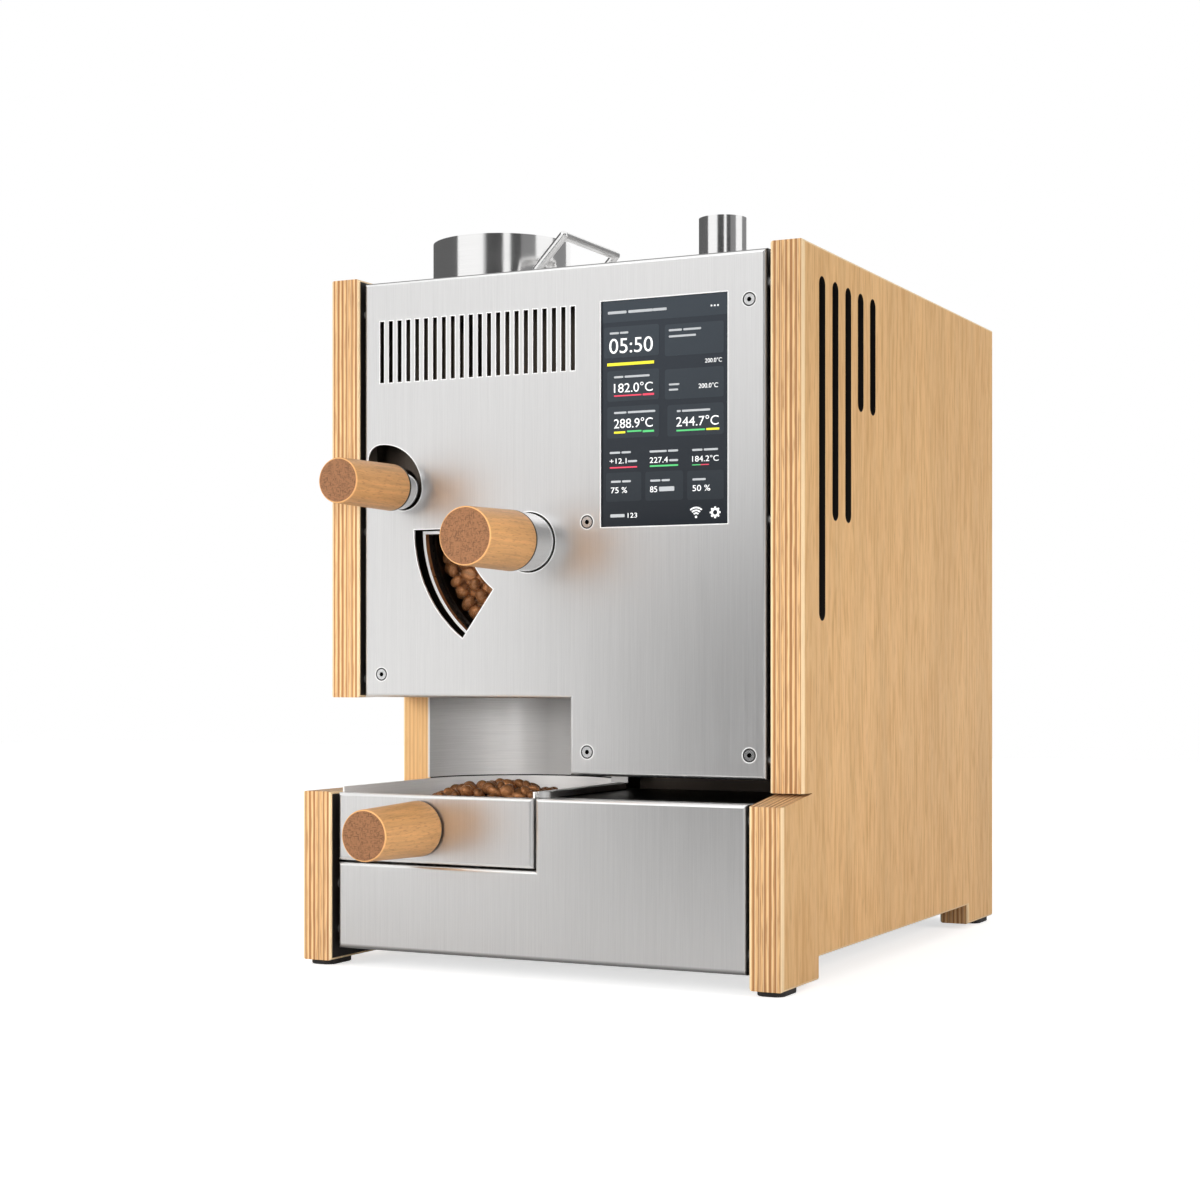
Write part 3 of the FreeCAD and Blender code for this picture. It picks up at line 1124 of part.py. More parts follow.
def chaff_box():
    x0, x1 = CHAFF_LEFT, CHAFF_RIGHT
    y0, y1 = CHAFF_FRONT, CHAFF_BACK
    outer = box(x0 - LINER, x1 + LINER, y0 - LINER, y1 + LINER, CHAFF_BASE, COVER_UNDER)
    inner = box(x0, x1, y0, y1, CHAFF_BASE + LINER, COVER_UNDER)
    middle = (BULKHEAD_BACK + HOUSING_BACK) / 2
    axis = (DRUM_X, middle)
    collar = rod_z(CHAFF_PORT + LINER, *axis, DRUM_Z, CHAFF_BASE)
    collar = collar.cut(rod_y(HOUSING_OUTER, DRUM_X, DRUM_Z, -FAR, FAR))
    passage = rod_z(CHAFF_PORT, *axis, DRUM_Z, CHAFF_BASE + LINER)
    port = rod_x(SPOUT_RADIUS, EXHAUST_Y, EXHAUST_Z, x1, x1 + LINER)
    return outer.fuse(collar).cut(inner).cut(passage).cut(port)


def chaff_basket():
    base = CHAFF_BASE + LINER
    top = COVER_UNDER - BASKET_DROP
    x0, x1 = CHAFF_LEFT + STACK_GAP, CHAFF_RIGHT - STACK_GAP
    y0, y1 = CHAFF_FRONT + STACK_GAP, CHAFF_BACK - STACK_GAP
    wall = BASKET_WALL
    outer = box(x0, x1, y0, y1, base, top)
    basket = outer.cut(box(x0 + wall, x1 - wall, y0 + wall, y1 - wall, base + wall, top))
    slots = []
    pitch = (x1 - x0 - BASKET_MARGIN) / BASKET_SLOTS
    half = BASKET_SLOT / 2
    for index in range(BASKET_SLOTS):
        x = x0 + BASKET_MARGIN / 2 + (index + 0.5) * pitch
        slots.append(box(x - half, x + half, y0 + BASKET_MARGIN, y1 - BASKET_MARGIN, base,
                         base + wall))
        slots.append(box(x - half, x + half, y0, y1, base + BASKET_MARGIN, top - BASKET_MARGIN))
    return basket.cut(group(slots))


def top_lid():
    top = LID_Z + LID_THICKNESS
    plate = box(LID_LEFT_X, LID_RIGHT_X, LID_FRONT, LID_BACK, LID_Z, top)
    plate = rounded(plate, LID_EDGE_RADIUS, lambda b: b.ZMin > top - TOUCH)
    x0, x1 = CHAFF_LEFT + LID_RIM_GAP, CHAFF_RIGHT - LID_RIM_GAP
    y0, y1 = CHAFF_FRONT + LID_RIM_GAP, CHAFF_BACK - LID_RIM_GAP
    low = COVER_UNDER - LID_RIM_DROP
    rim = box(x0, x1, y0, y1, low, LID_Z)
    rim = rim.cut(box(x0 + LINER, x1 - LINER, y0 + LINER, y1 - LINER, low, LID_Z))
    side = HINGE_EAR + HINGE_SIDE_PLAY
    x0, x1 = CHAFF_LEFT + side, CHAFF_RIGHT - side
    tongue = box(x0, x1, LID_BACK, HINGE_Y, LID_Z + LID_TONGUE_LIFT, top)
    knuckle = rod_x(LID_KNUCKLE - LID_KNUCKLE_PLAY, HINGE_Y, HINGE_Z, x0, x1)
    bore = rod_x(LID_PIN + RUNNING, HINGE_Y, HINGE_Z, x0, x1)
    z = bail_pivot_z()
    ears = []
    holes = []
    for y in bail_ears():
        ears.append(box(BAIL_PIVOT_X - EAR_RADIUS, BAIL_PIVOT_X + EAR_RADIUS, y, y + EAR_THICKNESS,
                        top, z))
        ears.append(rod_y(EAR_RADIUS, BAIL_PIVOT_X, z, y, y + EAR_THICKNESS))
        holes.append(rod_y(BAIL_RADIUS + RUNNING, BAIL_PIVOT_X, z, y, y + EAR_THICKNESS))
    return union([plate, rim, tongue, knuckle] + ears).cut(bore).cut(group(holes))


def bail_ears():
    front = PANEL_Y + BAIL_SETBACK
    inset = BAIL_RADIUS + BAIL_SIDE_GAP
    return front + inset, front + BAIL_SPAN - inset - EAR_THICKNESS


def bail_pivot_z():
    return LID_Z + LID_THICKNESS + BAIL_RADIUS + BAIL_UNDER_GAP


def bail_handle():
    """One bent rod: a stub into each ear, two leaning legs and the crossbar."""
    front = PANEL_Y + BAIL_SETBACK
    back = front + BAIL_SPAN
    z = bail_pivot_z()
    top_x = BAIL_PIVOT_X + BAIL_RUN
    top_z = z + BAIL_RISE
    ears = bail_ears()
    legs = []
    for y in (front, back):
        legs.append(Part.makeCylinder(BAIL_RADIUS, math.hypot(BAIL_RUN, BAIL_RISE),
                                      V(BAIL_PIVOT_X, y, z), V(BAIL_RUN, 0, BAIL_RISE)))
        legs.append(Part.makeSphere(BAIL_RADIUS, V(BAIL_PIVOT_X, y, z)))
        legs.append(Part.makeSphere(BAIL_RADIUS, V(top_x, y, top_z)))
    bar = rod_y(BAIL_RADIUS, top_x, top_z, front, back)
    stubs = [rod_y(BAIL_RADIUS, BAIL_PIVOT_X, z, front, ears[0] + EAR_THICKNESS + BAIL_SIDE_GAP),
             rod_y(BAIL_RADIUS, BAIL_PIVOT_X, z, ears[1] - BAIL_SIDE_GAP, back)]
    return union(legs + [bar] + stubs)


def charge_lever():
    """Shaft, crank, stem, collar and stud in one turned and welded piece."""
    crank_y = PANEL_Y + SHEET + STACK_GAP
    crank_back = crank_y + CRANK_THICKNESS
    knob_x = LEVER_X + CRANK
    shaft = rod_y(LEVER_SHAFT, LEVER_X, LEVER_Z, crank_y, BULKHEAD_BACK + SHAFT_TAIL)
    web = box(LEVER_X, knob_x, crank_y, crank_back, LEVER_Z - CRANK_RADIUS, LEVER_Z + CRANK_RADIUS)
    ends = [rod_y(CRANK_RADIUS, x, LEVER_Z, crank_y, crank_back) for x in (LEVER_X, knob_x)]
    stem = rod_y(STEM_RADIUS, knob_x, LEVER_Z, COLLAR_BACK, crank_y)
    collar = rod_y(COLLAR_RADIUS, knob_x, LEVER_Z, COLLAR_FRONT, COLLAR_BACK)
    collar = rounded(collar, COLLAR_FILLET,
                     lambda b: b.YLength < TOUCH and b.XLength > COLLAR_RADIUS)
    stud = rod_y(STUD_RADIUS, knob_x, LEVER_Z, COLLAR_FRONT - STUD_LENGTH, COLLAR_FRONT)
    return union([shaft, web] + ends + [stem, collar, stud])


def charge_gate():
    back = GATE_Y + GATE_THICKNESS
    low, high = GATE_WEB
    plate = [rod_y(GATE_RADIUS, CHARGE_X, CHARGE_Z, GATE_Y, back),
             rod_y(GATE_HUB, LEVER_X, LEVER_Z, GATE_Y, back),
             box(LEVER_X, CHARGE_X - CHARGE_HOLE, GATE_Y, back, LEVER_Z + low, LEVER_Z + high)]
    return union(plate).cut(rod_y(LEVER_SHAFT, LEVER_X, LEVER_Z, GATE_Y, back))


def sampler_sleeve():
    outer = rod_y(SLEEVE_RADIUS, SAMPLER_X, SAMPLER_Z, SLEEVE_FRONT, BULKHEAD_Y)
    outer = rounded(outer, COLLAR_FILLET,
                    lambda b: b.YMax < SLEEVE_FRONT + TOUCH and b.XLength > SLEEVE_RADIUS)
    bore = rod_y(SAMPLER_ROD + ROD_GAP, SAMPLER_X, SAMPLER_Z, SLEEVE_FRONT, BULKHEAD_Y)
    seat = rod_y(BUSH_RADIUS + RUNNING, SAMPLER_X, SAMPLER_Z, BUSH_FRONT - BUSH_GAP,
                 BUSH_FRONT + BUSH_LENGTH + BUSH_GAP)
    return outer.cut(bore).cut(seat)


def sampler_bush():
    """The bronze ring that the rod slides through and turns with."""
    back = BUSH_FRONT + BUSH_LENGTH
    ring = rod_y(BUSH_RADIUS, SAMPLER_X, SAMPLER_Z, BUSH_FRONT, back)
    return ring.cut(rod_y(SAMPLER_ROD + RUNNING, SAMPLER_X, SAMPLER_Z, BUSH_FRONT, back))


def sampler_rod():
    end = BULKHEAD_BACK + SCOOP_REACH
    y0, y1 = BULKHEAD_BACK + SCOOP_START, end - SCOOP_END
    rod = rod_y(SAMPLER_ROD, SAMPLER_X, SAMPLER_Z, ROD_FRONT, end)
    trough = rod_y(SAMPLER_ROD - SCOOP_WALL, SAMPLER_X, SAMPLER_Z, y0, y1)
    opening = box(SAMPLER_X - SAMPLER_ROD, SAMPLER_X + SAMPLER_ROD, y0, y1, SAMPLER_Z,
                  SAMPLER_Z + SAMPLER_ROD)
    stud = rod_y(STUD_RADIUS, SAMPLER_X, SAMPLER_Z, ROD_FRONT - STUD_LENGTH, ROD_FRONT)
    return rod.cut(trough).cut(opening).fuse(stud).removeSplitter()


def discharge_chute():
    x0 = DOOR_X - DOOR_WIDTH / 2 - DISCHARGE_MARGIN
    x1 = DOOR_X + DOOR_WIDTH / 2 + DISCHARGE_MARGIN - STACK_GAP
    front = PANEL_Y + SHEET + STACK_GAP
    low = PANEL_BOTTOM_Z + DISCHARGE_LIFT
    top = flap_pin_z() + DISCHARGE_MARGIN - STACK_GAP
    outer = box(x0, x1, front, BULKHEAD_Y, low, top)
    inner = box(x0 + LINER, x1 - LINER, front + LINER, BULKHEAD_Y, low, top)
    pin = rod_x(PIN_RADIUS + RUNNING, flap_pin_y(), flap_pin_z(), x0, x1)
    return outer.cut(inner).cut(pin)


def flap_pin_y():
    return BULKHEAD_Y - KNUCKLE_RADIUS - FLAP_GAP


def flap_pin_z():
    return DRUM_Z - DOOR_DROP + DOOR_HEIGHT + FLAP_PIN_RISE


def discharge_flap():
    x0 = DOOR_X - DOOR_WIDTH / 2 - FLAP_LAP
    x1 = DOOR_X + DOOR_WIDTH / 2 + FLAP_LAP
    y, z = flap_pin_y(), flap_pin_z()
    back = BULKHEAD_Y - FLAP_GAP
    plate = box(x0, x1, back - SHEET, back, DRUM_Z - DOOR_DROP - FLAP_LAP, z)
    knuckle = rod_x(KNUCKLE_RADIUS, y, z, x0, x1)
    pin = rod_x(PIN_RADIUS, y, z, DOOR_X - DOOR_WIDTH / 2 - DISCHARGE_MARGIN - STACK_GAP,
                servo_x() + SERVO_GRIP - STACK_GAP)
    return union([plate, knuckle, pin])


def servo_x():
    return DOOR_X + DOOR_WIDTH / 2 + DISCHARGE_MARGIN


def discharge_servo():
    length, depth, height = SERVO_SIZE
    x = servo_x()
    z = flap_pin_z()
    body = box(x, x + length, BULKHEAD_Y - depth, BULKHEAD_Y, z - height / 2, z + height / 2)
    return body.cut(rod_x(PIN_RADIUS + RUNNING, flap_pin_y(), z, x, x + SERVO_GRIP))


def touch_screen():
    right = PANEL_X - SCREEN_EDGE_INSET + SCREEN_LAP
    top = COVER_Z - SCREEN_TOP_DROP + SCREEN_LAP
    return box(right - SCREEN_WIDTH - 2 * SCREEN_LAP, right, PANEL_Y + SHEET,
               PANEL_Y + SHEET + SCREEN_GLASS, top - SCREEN_HEIGHT - 2 * SCREEN_LAP, top)


def display_module():
    right = PANEL_X - SCREEN_EDGE_INSET + SCREEN_LAP
    left = right - SCREEN_WIDTH - 2 * SCREEN_LAP
    top = COVER_Z - SCREEN_TOP_DROP + SCREEN_LAP
    bottom = top - SCREEN_HEIGHT - 2 * SCREEN_LAP
    front = PANEL_Y + SHEET + SCREEN_GLASS
    back = front + SCREEN_DEPTH
    inset = POST_INSET
    body = box(left, right, front, back, bottom, top)
    posts = [rod_y(POST_RADIUS, x, z, back, BULKHEAD_Y) for x in (left + inset, right - inset)
             for z in (bottom + inset, top - inset)]
    return union([body] + posts)


def drawer_front():
    points = [(-PANEL_X, DRAWER_BOTTOM), (DRAWER_RIGHT_X, DRAWER_BOTTOM),
              (DRAWER_RIGHT_X, DRAWER_TOP), (-PANEL_X, DRAWER_TOP)]
    panel = folded_panel(points, LOWER_Y, DRAWER_RIM)
    x, z = drawer_knob_place()
    stud = rod_y(STUD_RADIUS, x, z, LOWER_Y - KNOB_RING - STUD_LENGTH, LOWER_Y + SHEET)
    return union([panel, stud])


def drawer_knob_place():
    return -PANEL_X + DRAWER_KNOB_INSET, DRAWER_BOTTOM + DRAWER_KNOB_RISE


def drawer_knob():
    x, z = drawer_knob_place()
    back = LOWER_Y - KNOB_RING
    ring = rod_y(DRAWER_KNOB[0] - KNOB_RING_STEP, x, z, back, LOWER_Y)
    return union([knob(DRAWER_KNOB, x, z, back), ring.cut(rod_y(STUD_RADIUS, x, z, back, LOWER_Y))])


def cooling_tray():
    wall = tray_plan(0.0, TRAY_BASE, TRAY_TOP).cut(
        tray_plan(-LINER, TRAY_BASE, TRAY_TOP, TRAY_FRONT + LINER))
    ledge = tray_plan(0.0, SIEVE_Z - LINER, SIEVE_Z).cut(
        tray_plan(-SIEVE_LEDGE, SIEVE_Z - LINER, SIEVE_Z, TRAY_FRONT + SIEVE_LEDGE))
    low_front = box(TRAY_LEFT_X, TRAY_RIGHT_X, TRAY_FRONT, TRAY_FRONT + LINER,
                    DRAWER_TOP - TRAY_FRONT_DROP, TRAY_TOP)
    return union([wall, ledge]).cut(low_front)


def tray_sieve():
    top = SIEVE_Z + LINER
    plate = tray_plan(-LINER - FREE, SIEVE_Z, top, TRAY_FRONT + LINER + FREE)
    slots = []
    pitch = (2 * TRAY_RADIUS - 2 * SIEVE_SIDE) / SIEVE_SLOTS
    for row in range(SIEVE_ROWS):
        y = TRAY_FRONT + SIEVE_FRONT + row * SIEVE_ROW_PITCH
        for index in range(SIEVE_SLOTS):
            x = TRAY_LEFT_X + SIEVE_SIDE + (index + 0.5) * pitch - SIEVE_SLOT_WIDTH / 2
            slots.append(box(x, x + SIEVE_SLOT_WIDTH, y, y + SIEVE_SLOT_LENGTH, SIEVE_Z, top))
    return plate.cut(group(slots))


def tray_heap():
    top = DRAWER_TOP + HEAP_TOP_RISE
    block = tray_plan(-LINER - HEAP_GAP, SIEVE_Z + LINER, top, TRAY_FRONT + LINER + HEAP_GAP)
    ball = Part.makeSphere(HEAP_CURVE, V(TRAY_X, (TRAY_FRONT + TRAY_AXIS_Y) / 2, top - HEAP_CURVE))
    return block.common(ball)


def drawer_runners():
    top = TRAY_BASE - FREE
    low = top - RUNNER_HEIGHT
    left = box(-INNER_X, TRAY_LEFT_X + RUNNER_LAP, PAN_FRONT_Y, TRAY_AXIS_Y, low, top)
    right = box(TRAY_RIGHT_X - RUNNER_LAP, DIVIDER_X, PAN_FRONT_Y + LINER, TRAY_AXIS_Y, low, top)
    return group([left, right])


def cooling_fan_frame():
    half = FAN_SIZE / 2
    x0, x1 = TRAY_X - half, TRAY_X + half
    y0, y1 = FAN_Y - half, FAN_Y + half
    spider = FAN_Z + SPIDER_HEIGHT
    arm = SPIDER_ARM / 2
    frame = box(x0, x1, y0, y1, FAN_Z, FAN_Z + FAN_DEPTH)
    frame = frame.cut(rod_z(half - FAN_WALL, TRAY_X, FAN_Y, FAN_Z, FAN_Z + FAN_DEPTH))
    hub = rod_z(FAN_HUB, TRAY_X, FAN_Y, FAN_Z, spider)
    struts = [box(x0, x1, FAN_Y - arm, FAN_Y + arm, FAN_Z, spider),
              box(TRAY_X - arm, TRAY_X + arm, y0, y1, FAN_Z, spider)]
    axle = rod_z(AXLE_RADIUS, TRAY_X, FAN_Y, spider, FAN_Z + FAN_AXLE)
    inset = half - FAN_POST_INSET
    posts = [rod_z(FAN_POST_RADIUS, TRAY_X + sx * inset, FAN_Y + sy * inset, UNDERSIDE_Z + SHEET,
                   FAN_Z) for sx in (-1, 1) for sy in (-1, 1)]
    return union([frame, hub] + struts + [axle] + posts)


def cooling_impeller():
    wheel = rotor(FAN_SIZE / 2 - FAN_TIP_INSET, FAN_HUB, FAN_DEPTH - FAN_WHEEL_MARGIN, FAN_BLADES,
                  FAN_PITCH)
    wheel.translate(V(TRAY_X, FAN_Y, FAN_Z + SPIDER_HEIGHT + FREE))
    return wheel.cut(rod_z(AXLE_RADIUS + RUNNING, TRAY_X, FAN_Y, FAN_Z, FAN_Z + FAN_AXLE + FREE))


def control_board():
    length, height = BOARD_SIZE
    x = INNER_X - BOARD_STANDOFF
    y, z = BACK_Y - BOARD_BACK_GAP - length, DRUM_Z - BOARD_DROP
    face = x - BOARD_THICKNESS
    board = box(face, x, y, y + length, z, z + height)
    posts = [rod_x(POST_RADIUS, y + py, z + pz, x, INNER_X)
             for py in (POST_INSET, length - POST_INSET)
             for pz in (POST_INSET, height - POST_INSET)]
    chip_length, chip_height = CHIP_SIZE
    chips = [box(face - tall, face, y + py, y + py + chip_length, z + pz, z + pz + chip_height)
             for py, pz, tall in CHIPS]
    return union([board] + posts + chips)


def power_supply():
    width, length, height = SUPPLY_SIZE
    x = INNER_X - SUPPLY_SIDE_GAP - width
    y = BACK_Y - SUPPLY_BACK_GAP - length
    z = UNDERSIDE_Z + SHEET
    return box(x, x + width, y, y + length, z, z + height)


def power_inlet():
    """Mains inlet and switch frame in one panel module, with no cord."""
    w, h = INLET_WIDTH / 2, INLET_HEIGHT / 2
    lap = INLET_RIM
    front = BACK_Y + INLET_PROUD
    low = INLET_Z - h + INLET_RIM
    deep = BACK_Y - SOCKET_DEEP
    body = box(INLET_X - w, INLET_X + w, BACK_Y - INLET_DEPTH, BACK_Y, INLET_Z - h, INLET_Z + h)
    rim = box(INLET_X - w - lap, INLET_X + w + lap, BACK_Y, front, INLET_Z - h - lap,
              INLET_Z + h + lap)
    socket = box(INLET_X - SOCKET_WIDTH / 2, INLET_X + SOCKET_WIDTH / 2, deep, front, low,
                 low + SOCKET_HEIGHT)
    half = BLADE_WIDTH / 2
    middle = low + SOCKET_HEIGHT / 2
    blades = [box(INLET_X + dx - half, INLET_X + dx + half, deep, BACK_Y - INLET_PROUD,
                  middle - BLADE_HEIGHT / 2, middle + BLADE_HEIGHT / 2)
              for dx in (-BLADE_PITCH, 0.0, BLADE_PITCH)]
    x, y, z = rocker_axis()
    x0, x1 = x - ROCKER[0] / 2 - ROCKER_SIDE_GAP, x + ROCKER[0] / 2 + ROCKER_SIDE_GAP
    reach = ROCKER[1] / 2 + ROCKER_PLAY
    well = box(x0, x1, y - ROCKER_WELL, front, z - reach, z + reach)
    pin = rod_x(ROCKER_PIN, y, z, x0, x1)
    return union([body, rim]).cut(socket).cut(well).fuse(group(blades + [pin]))


def rocker_axis():
    top = INLET_Z + INLET_HEIGHT / 2 - ROCKER_TOP_WALL
    return INLET_X, BACK_Y - ROCKER_INSET, top - ROCKER_PLAY - ROCKER[1] / 2


def power_rocker():
    """Its upper half stands lower than its lower half: the switch is off."""
    x, y, z = rocker_axis()
    half = ROCKER[1] / 2
    foot = y - ROCKER_FOOT[0]
    points = [(foot, z - ROCKER_FOOT[1]), (foot, z + ROCKER_FOOT[1])]
    points += [(y + dy, z + share * half) for dy, share in ROCKER_FACE]
    body = prism_x(points, x - ROCKER[0] / 2, x + ROCKER[0] / 2)
    return body.cut(rod_x(ROCKER_PIN + RUNNING, y, z, x - ROCKER[0] / 2, x + ROCKER[0] / 2))


def lever_knob():
    return knob(LEVER_KNOB, LEVER_X + CRANK, LEVER_Z, COLLAR_FRONT)


def sampler_knob():
    return knob(SAMPLER_KNOB, SAMPLER_X, SAMPLER_Z, ROD_FRONT)


def build():
    return {
        "side_panel_left": side_panel(-BODY_WIDTH / 2, True),
        "side_panel_right": side_vents(side_panel(BODY_WIDTH / 2, False)),
        "front_panel": front_panel(),
        "lower_front_panel": lower_front_panel(),
        "top_cover": top_cover(),
        "back_panel": back_panel(),
        "base_pan": base_pan(),
        "bulkhead": bulkhead(),
        "deck_plate": deck_plate(),
        "bay_wall": bay_wall(),
        "panel_spacers": panel_spacers(),
        "front_screws": front_screws(),
        "rubber_feet": rubber_feet(),
        "window_frame": window_frame(),
        "sight_glass": sight_glass(),
        "drum_beans": drum_bed(),
        "roasting_drum": drum_shape(),
        "drum_pulley": pulley(DRUM_PULLEY, SHAFT_RADIUS, DRUM_X, DRUM_Z),
        "drum_housing": drum_housing(),
        "drum_bearings": drum_bearings(),
        "drive_belt": drive_belt(),
        "drum_gearmotor": drum_gearmotor(),
        "motor_pulley": motor_pulley(),
        "hot_air_duct": hot_air_duct(),
        "heater_element": heater_element(),
        "fan_motors": fan_motors(),
        "blower_impeller": blower_impeller(),
        "exhaust_fan_housing": exhaust_fan_housing(),
        "exhaust_impeller": exhaust_impeller(),
        "exhaust_stub": exhaust_stub(),
        "bean_hopper": hopper(),
        "charge_chute": charge_chute(),
        "charge_gate": charge_gate(),
        "charge_lever": charge_lever(),
        "charge_knob": lever_knob(),
        "sampler_sleeve": sampler_sleeve(),
        "sampler_bush": sampler_bush(),
        "sampler_rod": sampler_rod(),
        "sampler_knob": sampler_knob(),
        "discharge_chute": discharge_chute(),
        "discharge_flap": discharge_flap(),
        "discharge_servo": discharge_servo(),
        "chaff_box": chaff_box(),
        "chaff_basket": chaff_basket(),
        "top_lid": top_lid(),
        "bail_handle": bail_handle(),
        "touch_screen": touch_screen(),
        "display_module": display_module(),
        "drawer_front": drawer_front(),
        "drawer_knob": drawer_knob(),
        "cooling_tray": cooling_tray(),
        "tray_sieve": tray_sieve(),
        "tray_beans": tray_heap(),
        "drawer_runners": drawer_runners(),
        "cooling_fan_frame": cooling_fan_frame(),
        "cooling_impeller": cooling_impeller(),
        "control_board": control_board(),
        "power_supply": power_supply(),
        "power_inlet": power_inlet(),
        "power_rocker": power_rocker(),
    }


def main():
    os.makedirs("parts", exist_ok=True)
    for name, shape in build().items():
        shape.exportStep(os.path.join("parts", name + ".step"))


main()
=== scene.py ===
import math
import random

import bmesh
import bpy
from bpy.props import (FloatProperty, FloatVectorProperty, IntProperty, PointerProperty)
from mathutils import Matrix, Vector


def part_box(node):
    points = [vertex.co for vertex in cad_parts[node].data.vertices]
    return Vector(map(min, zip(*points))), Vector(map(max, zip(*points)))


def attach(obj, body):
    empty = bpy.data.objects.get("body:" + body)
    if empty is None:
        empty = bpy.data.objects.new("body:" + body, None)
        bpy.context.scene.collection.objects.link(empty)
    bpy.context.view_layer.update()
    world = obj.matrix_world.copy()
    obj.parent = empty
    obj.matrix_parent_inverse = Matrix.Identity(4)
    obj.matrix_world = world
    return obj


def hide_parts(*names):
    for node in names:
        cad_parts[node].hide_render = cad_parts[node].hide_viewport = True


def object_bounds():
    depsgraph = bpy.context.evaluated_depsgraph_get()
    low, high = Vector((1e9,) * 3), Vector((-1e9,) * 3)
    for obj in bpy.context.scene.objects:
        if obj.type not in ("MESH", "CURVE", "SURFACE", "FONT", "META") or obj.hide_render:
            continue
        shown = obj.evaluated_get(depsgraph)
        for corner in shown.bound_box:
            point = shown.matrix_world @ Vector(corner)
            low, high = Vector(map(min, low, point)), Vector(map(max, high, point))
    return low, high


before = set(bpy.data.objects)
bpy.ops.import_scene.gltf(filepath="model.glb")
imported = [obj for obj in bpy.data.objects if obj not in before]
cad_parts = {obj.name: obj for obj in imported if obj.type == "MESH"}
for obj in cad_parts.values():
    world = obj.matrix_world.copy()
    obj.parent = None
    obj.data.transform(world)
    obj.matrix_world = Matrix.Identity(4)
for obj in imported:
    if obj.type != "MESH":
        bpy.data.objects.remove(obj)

bl_info = {
    "name": "Countertop Coffee Roaster",
    "version": (1, 0, 0),
    "blender": (4, 5, 0),
    "location": "View3D > Sidebar > Roaster",
    "description": "Finishes, screen and beans for a countertop drum roaster",
    "category": "Object",
}

CAD_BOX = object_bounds()
ROOF_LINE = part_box("top_cover")[1].z


# --------------------------------------------------------------------------- sizes and colours


def length(name, description, default):
    return FloatProperty(name=name, description=description, default=default, unit="LENGTH",
                         precision=4)


def colour(name, description, default):
    return FloatVectorProperty(name=name, description=description, default=(*default, 1.0), size=4,
                               min=0.0, max=1.0, subtype="COLOR")


def amount(name, description, default):
    return FloatProperty(name=name, description=description, default=default, min=0.0)


class StudioSizes(bpy.types.PropertyGroup):
    camera_place: FloatVectorProperty(
        name="Camera place", description="Where the camera stands", size=3,
        default=(0.6386, -1.3832, 0.1992), subtype="TRANSLATION")
    camera_turn: FloatProperty(
        name="Camera turn", description="How far the camera is turned to its left",
        default=math.radians(26.29), subtype="ANGLE")
    camera_lens: FloatProperty(
        name="Lens", description="Focal length on a 36 mm wide sensor, in millimetres",
        default=64.88)
    camera_rise: FloatProperty(
        name="Camera rise", description="Vertical shift of the lens, as a share of the sensor",
        default=0.0519)
    floor_size: length("Floor size", "Side of the floor", 6.0)
    key_power: amount("Key light", "Power of the large light at the front left, in watts", 42.0)
    fill_power: amount("Fill light", "Power of the light at the right, in watts", 24.0)
    bay_power: amount("Bay light", "Power of the small light into the bay, in watts", 0.3)
    world_level: amount("World level", "Brightness of the surroundings on the object", 0.46)


class WoodColours(bpy.types.PropertyGroup):
    veneer_pale: colour("Pale veneer", "Wide bands of the side panels", (0.80, 0.49, 0.215))
    veneer_deep: colour("Deep veneer", "Grain lines of the side panels", (0.54, 0.27, 0.09))
    ply_pale: colour("Pale ply", "Light layers of the plywood's edge", (0.76, 0.47, 0.22))
    ply_deep: colour("Deep ply", "Dark layers of the plywood's edge", (0.40, 0.19, 0.075))
    # Cream of the glue lines, and of the rounded edges, where it is partly a painted highlight.
    glue_and_edge_sheen: colour("Sanded edge", "Rounded edges and thin lines of the plywood", (0.95, 0.74, 0.46))
    # Near black; on the inner faces it is painted shade. The vents' walls take it too.
    inside_dark: colour("Darkened face", "Inner faces of the side panels", (0.012, 0.010, 0.009))
    ply_layer: length("Ply layer", "Thickness of one layer of the plywood", 0.00175)
    knob_pale: colour("Pale beech", "Side of the knobs", (0.72, 0.38, 0.15))
    knob_deep: colour("Deep beech", "Flecks on the knobs", (0.42, 0.19, 0.07))
    knob_end: colour("Beech end", "End grain of the knobs", (0.27, 0.122, 0.054))


class SteelColours(bpy.types.PropertyGroup):
    brushed: colour("Brushed steel", "Front panels and drawer", (0.775, 0.77, 0.765))
    liner: colour("Satin liner", "Bay wall and cooling tray", (0.90, 0.885, 0.87))
    polished: colour("Polished steel", "Hopper, stub and bail", (0.93, 0.925, 0.92))
    sheet: colour("Plain sheet", "Panels inside and at the back", (0.50, 0.50, 0.50))
    # Dark heat tint; where the bulkhead shows through the lever's slot it is also painted shade.
    heat_tint_and_shade: colour("Heated steel", "Drum and chutes", (0.11, 0.09, 0.075))
    bronze: colour("Bronze", "Bush of the sampler and walls of the window", (0.46, 0.22, 0.095))
    brushed_roughness: amount("Brushed roughness", "Roughness of the front panels", 0.34)


class BeanSizes(bpy.types.PropertyGroup):
    bean_length: length("Bean length", "Length of a roasted bean", 0.0112)
    tray_beans: IntProperty(name="Beans in the tray", description="How many beans lie in the tray",
                            default=480, min=1)
    roast: colour("Roast", "Colour of the beans", (0.34, 0.145, 0.056))
    crease: colour("Crease", "Colour in a bean's crease", (0.30, 0.15, 0.068))


class ScreenColours(bpy.types.PropertyGroup):
    glass: colour("Screen", "Screen between the cards", (0.013, 0.017, 0.023))
    card: colour("Card", "Cards on the screen", (0.020, 0.026, 0.033))
    figures: colour("Figures", "Numbers on the screen", (0.90, 0.91, 0.92))
    label: colour("Label", "Label bars on the screen", (0.45, 0.47, 0.49))
    red: colour("Red bar", "Red bars under the numbers", (0.70, 0.05, 0.10))
    green: colour("Green bar", "Green bars under the numbers", (0.08, 0.50, 0.16))
    yellow: colour("Yellow bar", "Yellow bars under the numbers", (0.75, 0.68, 0.03))


# --------------------------------------------------------------------------- finishes


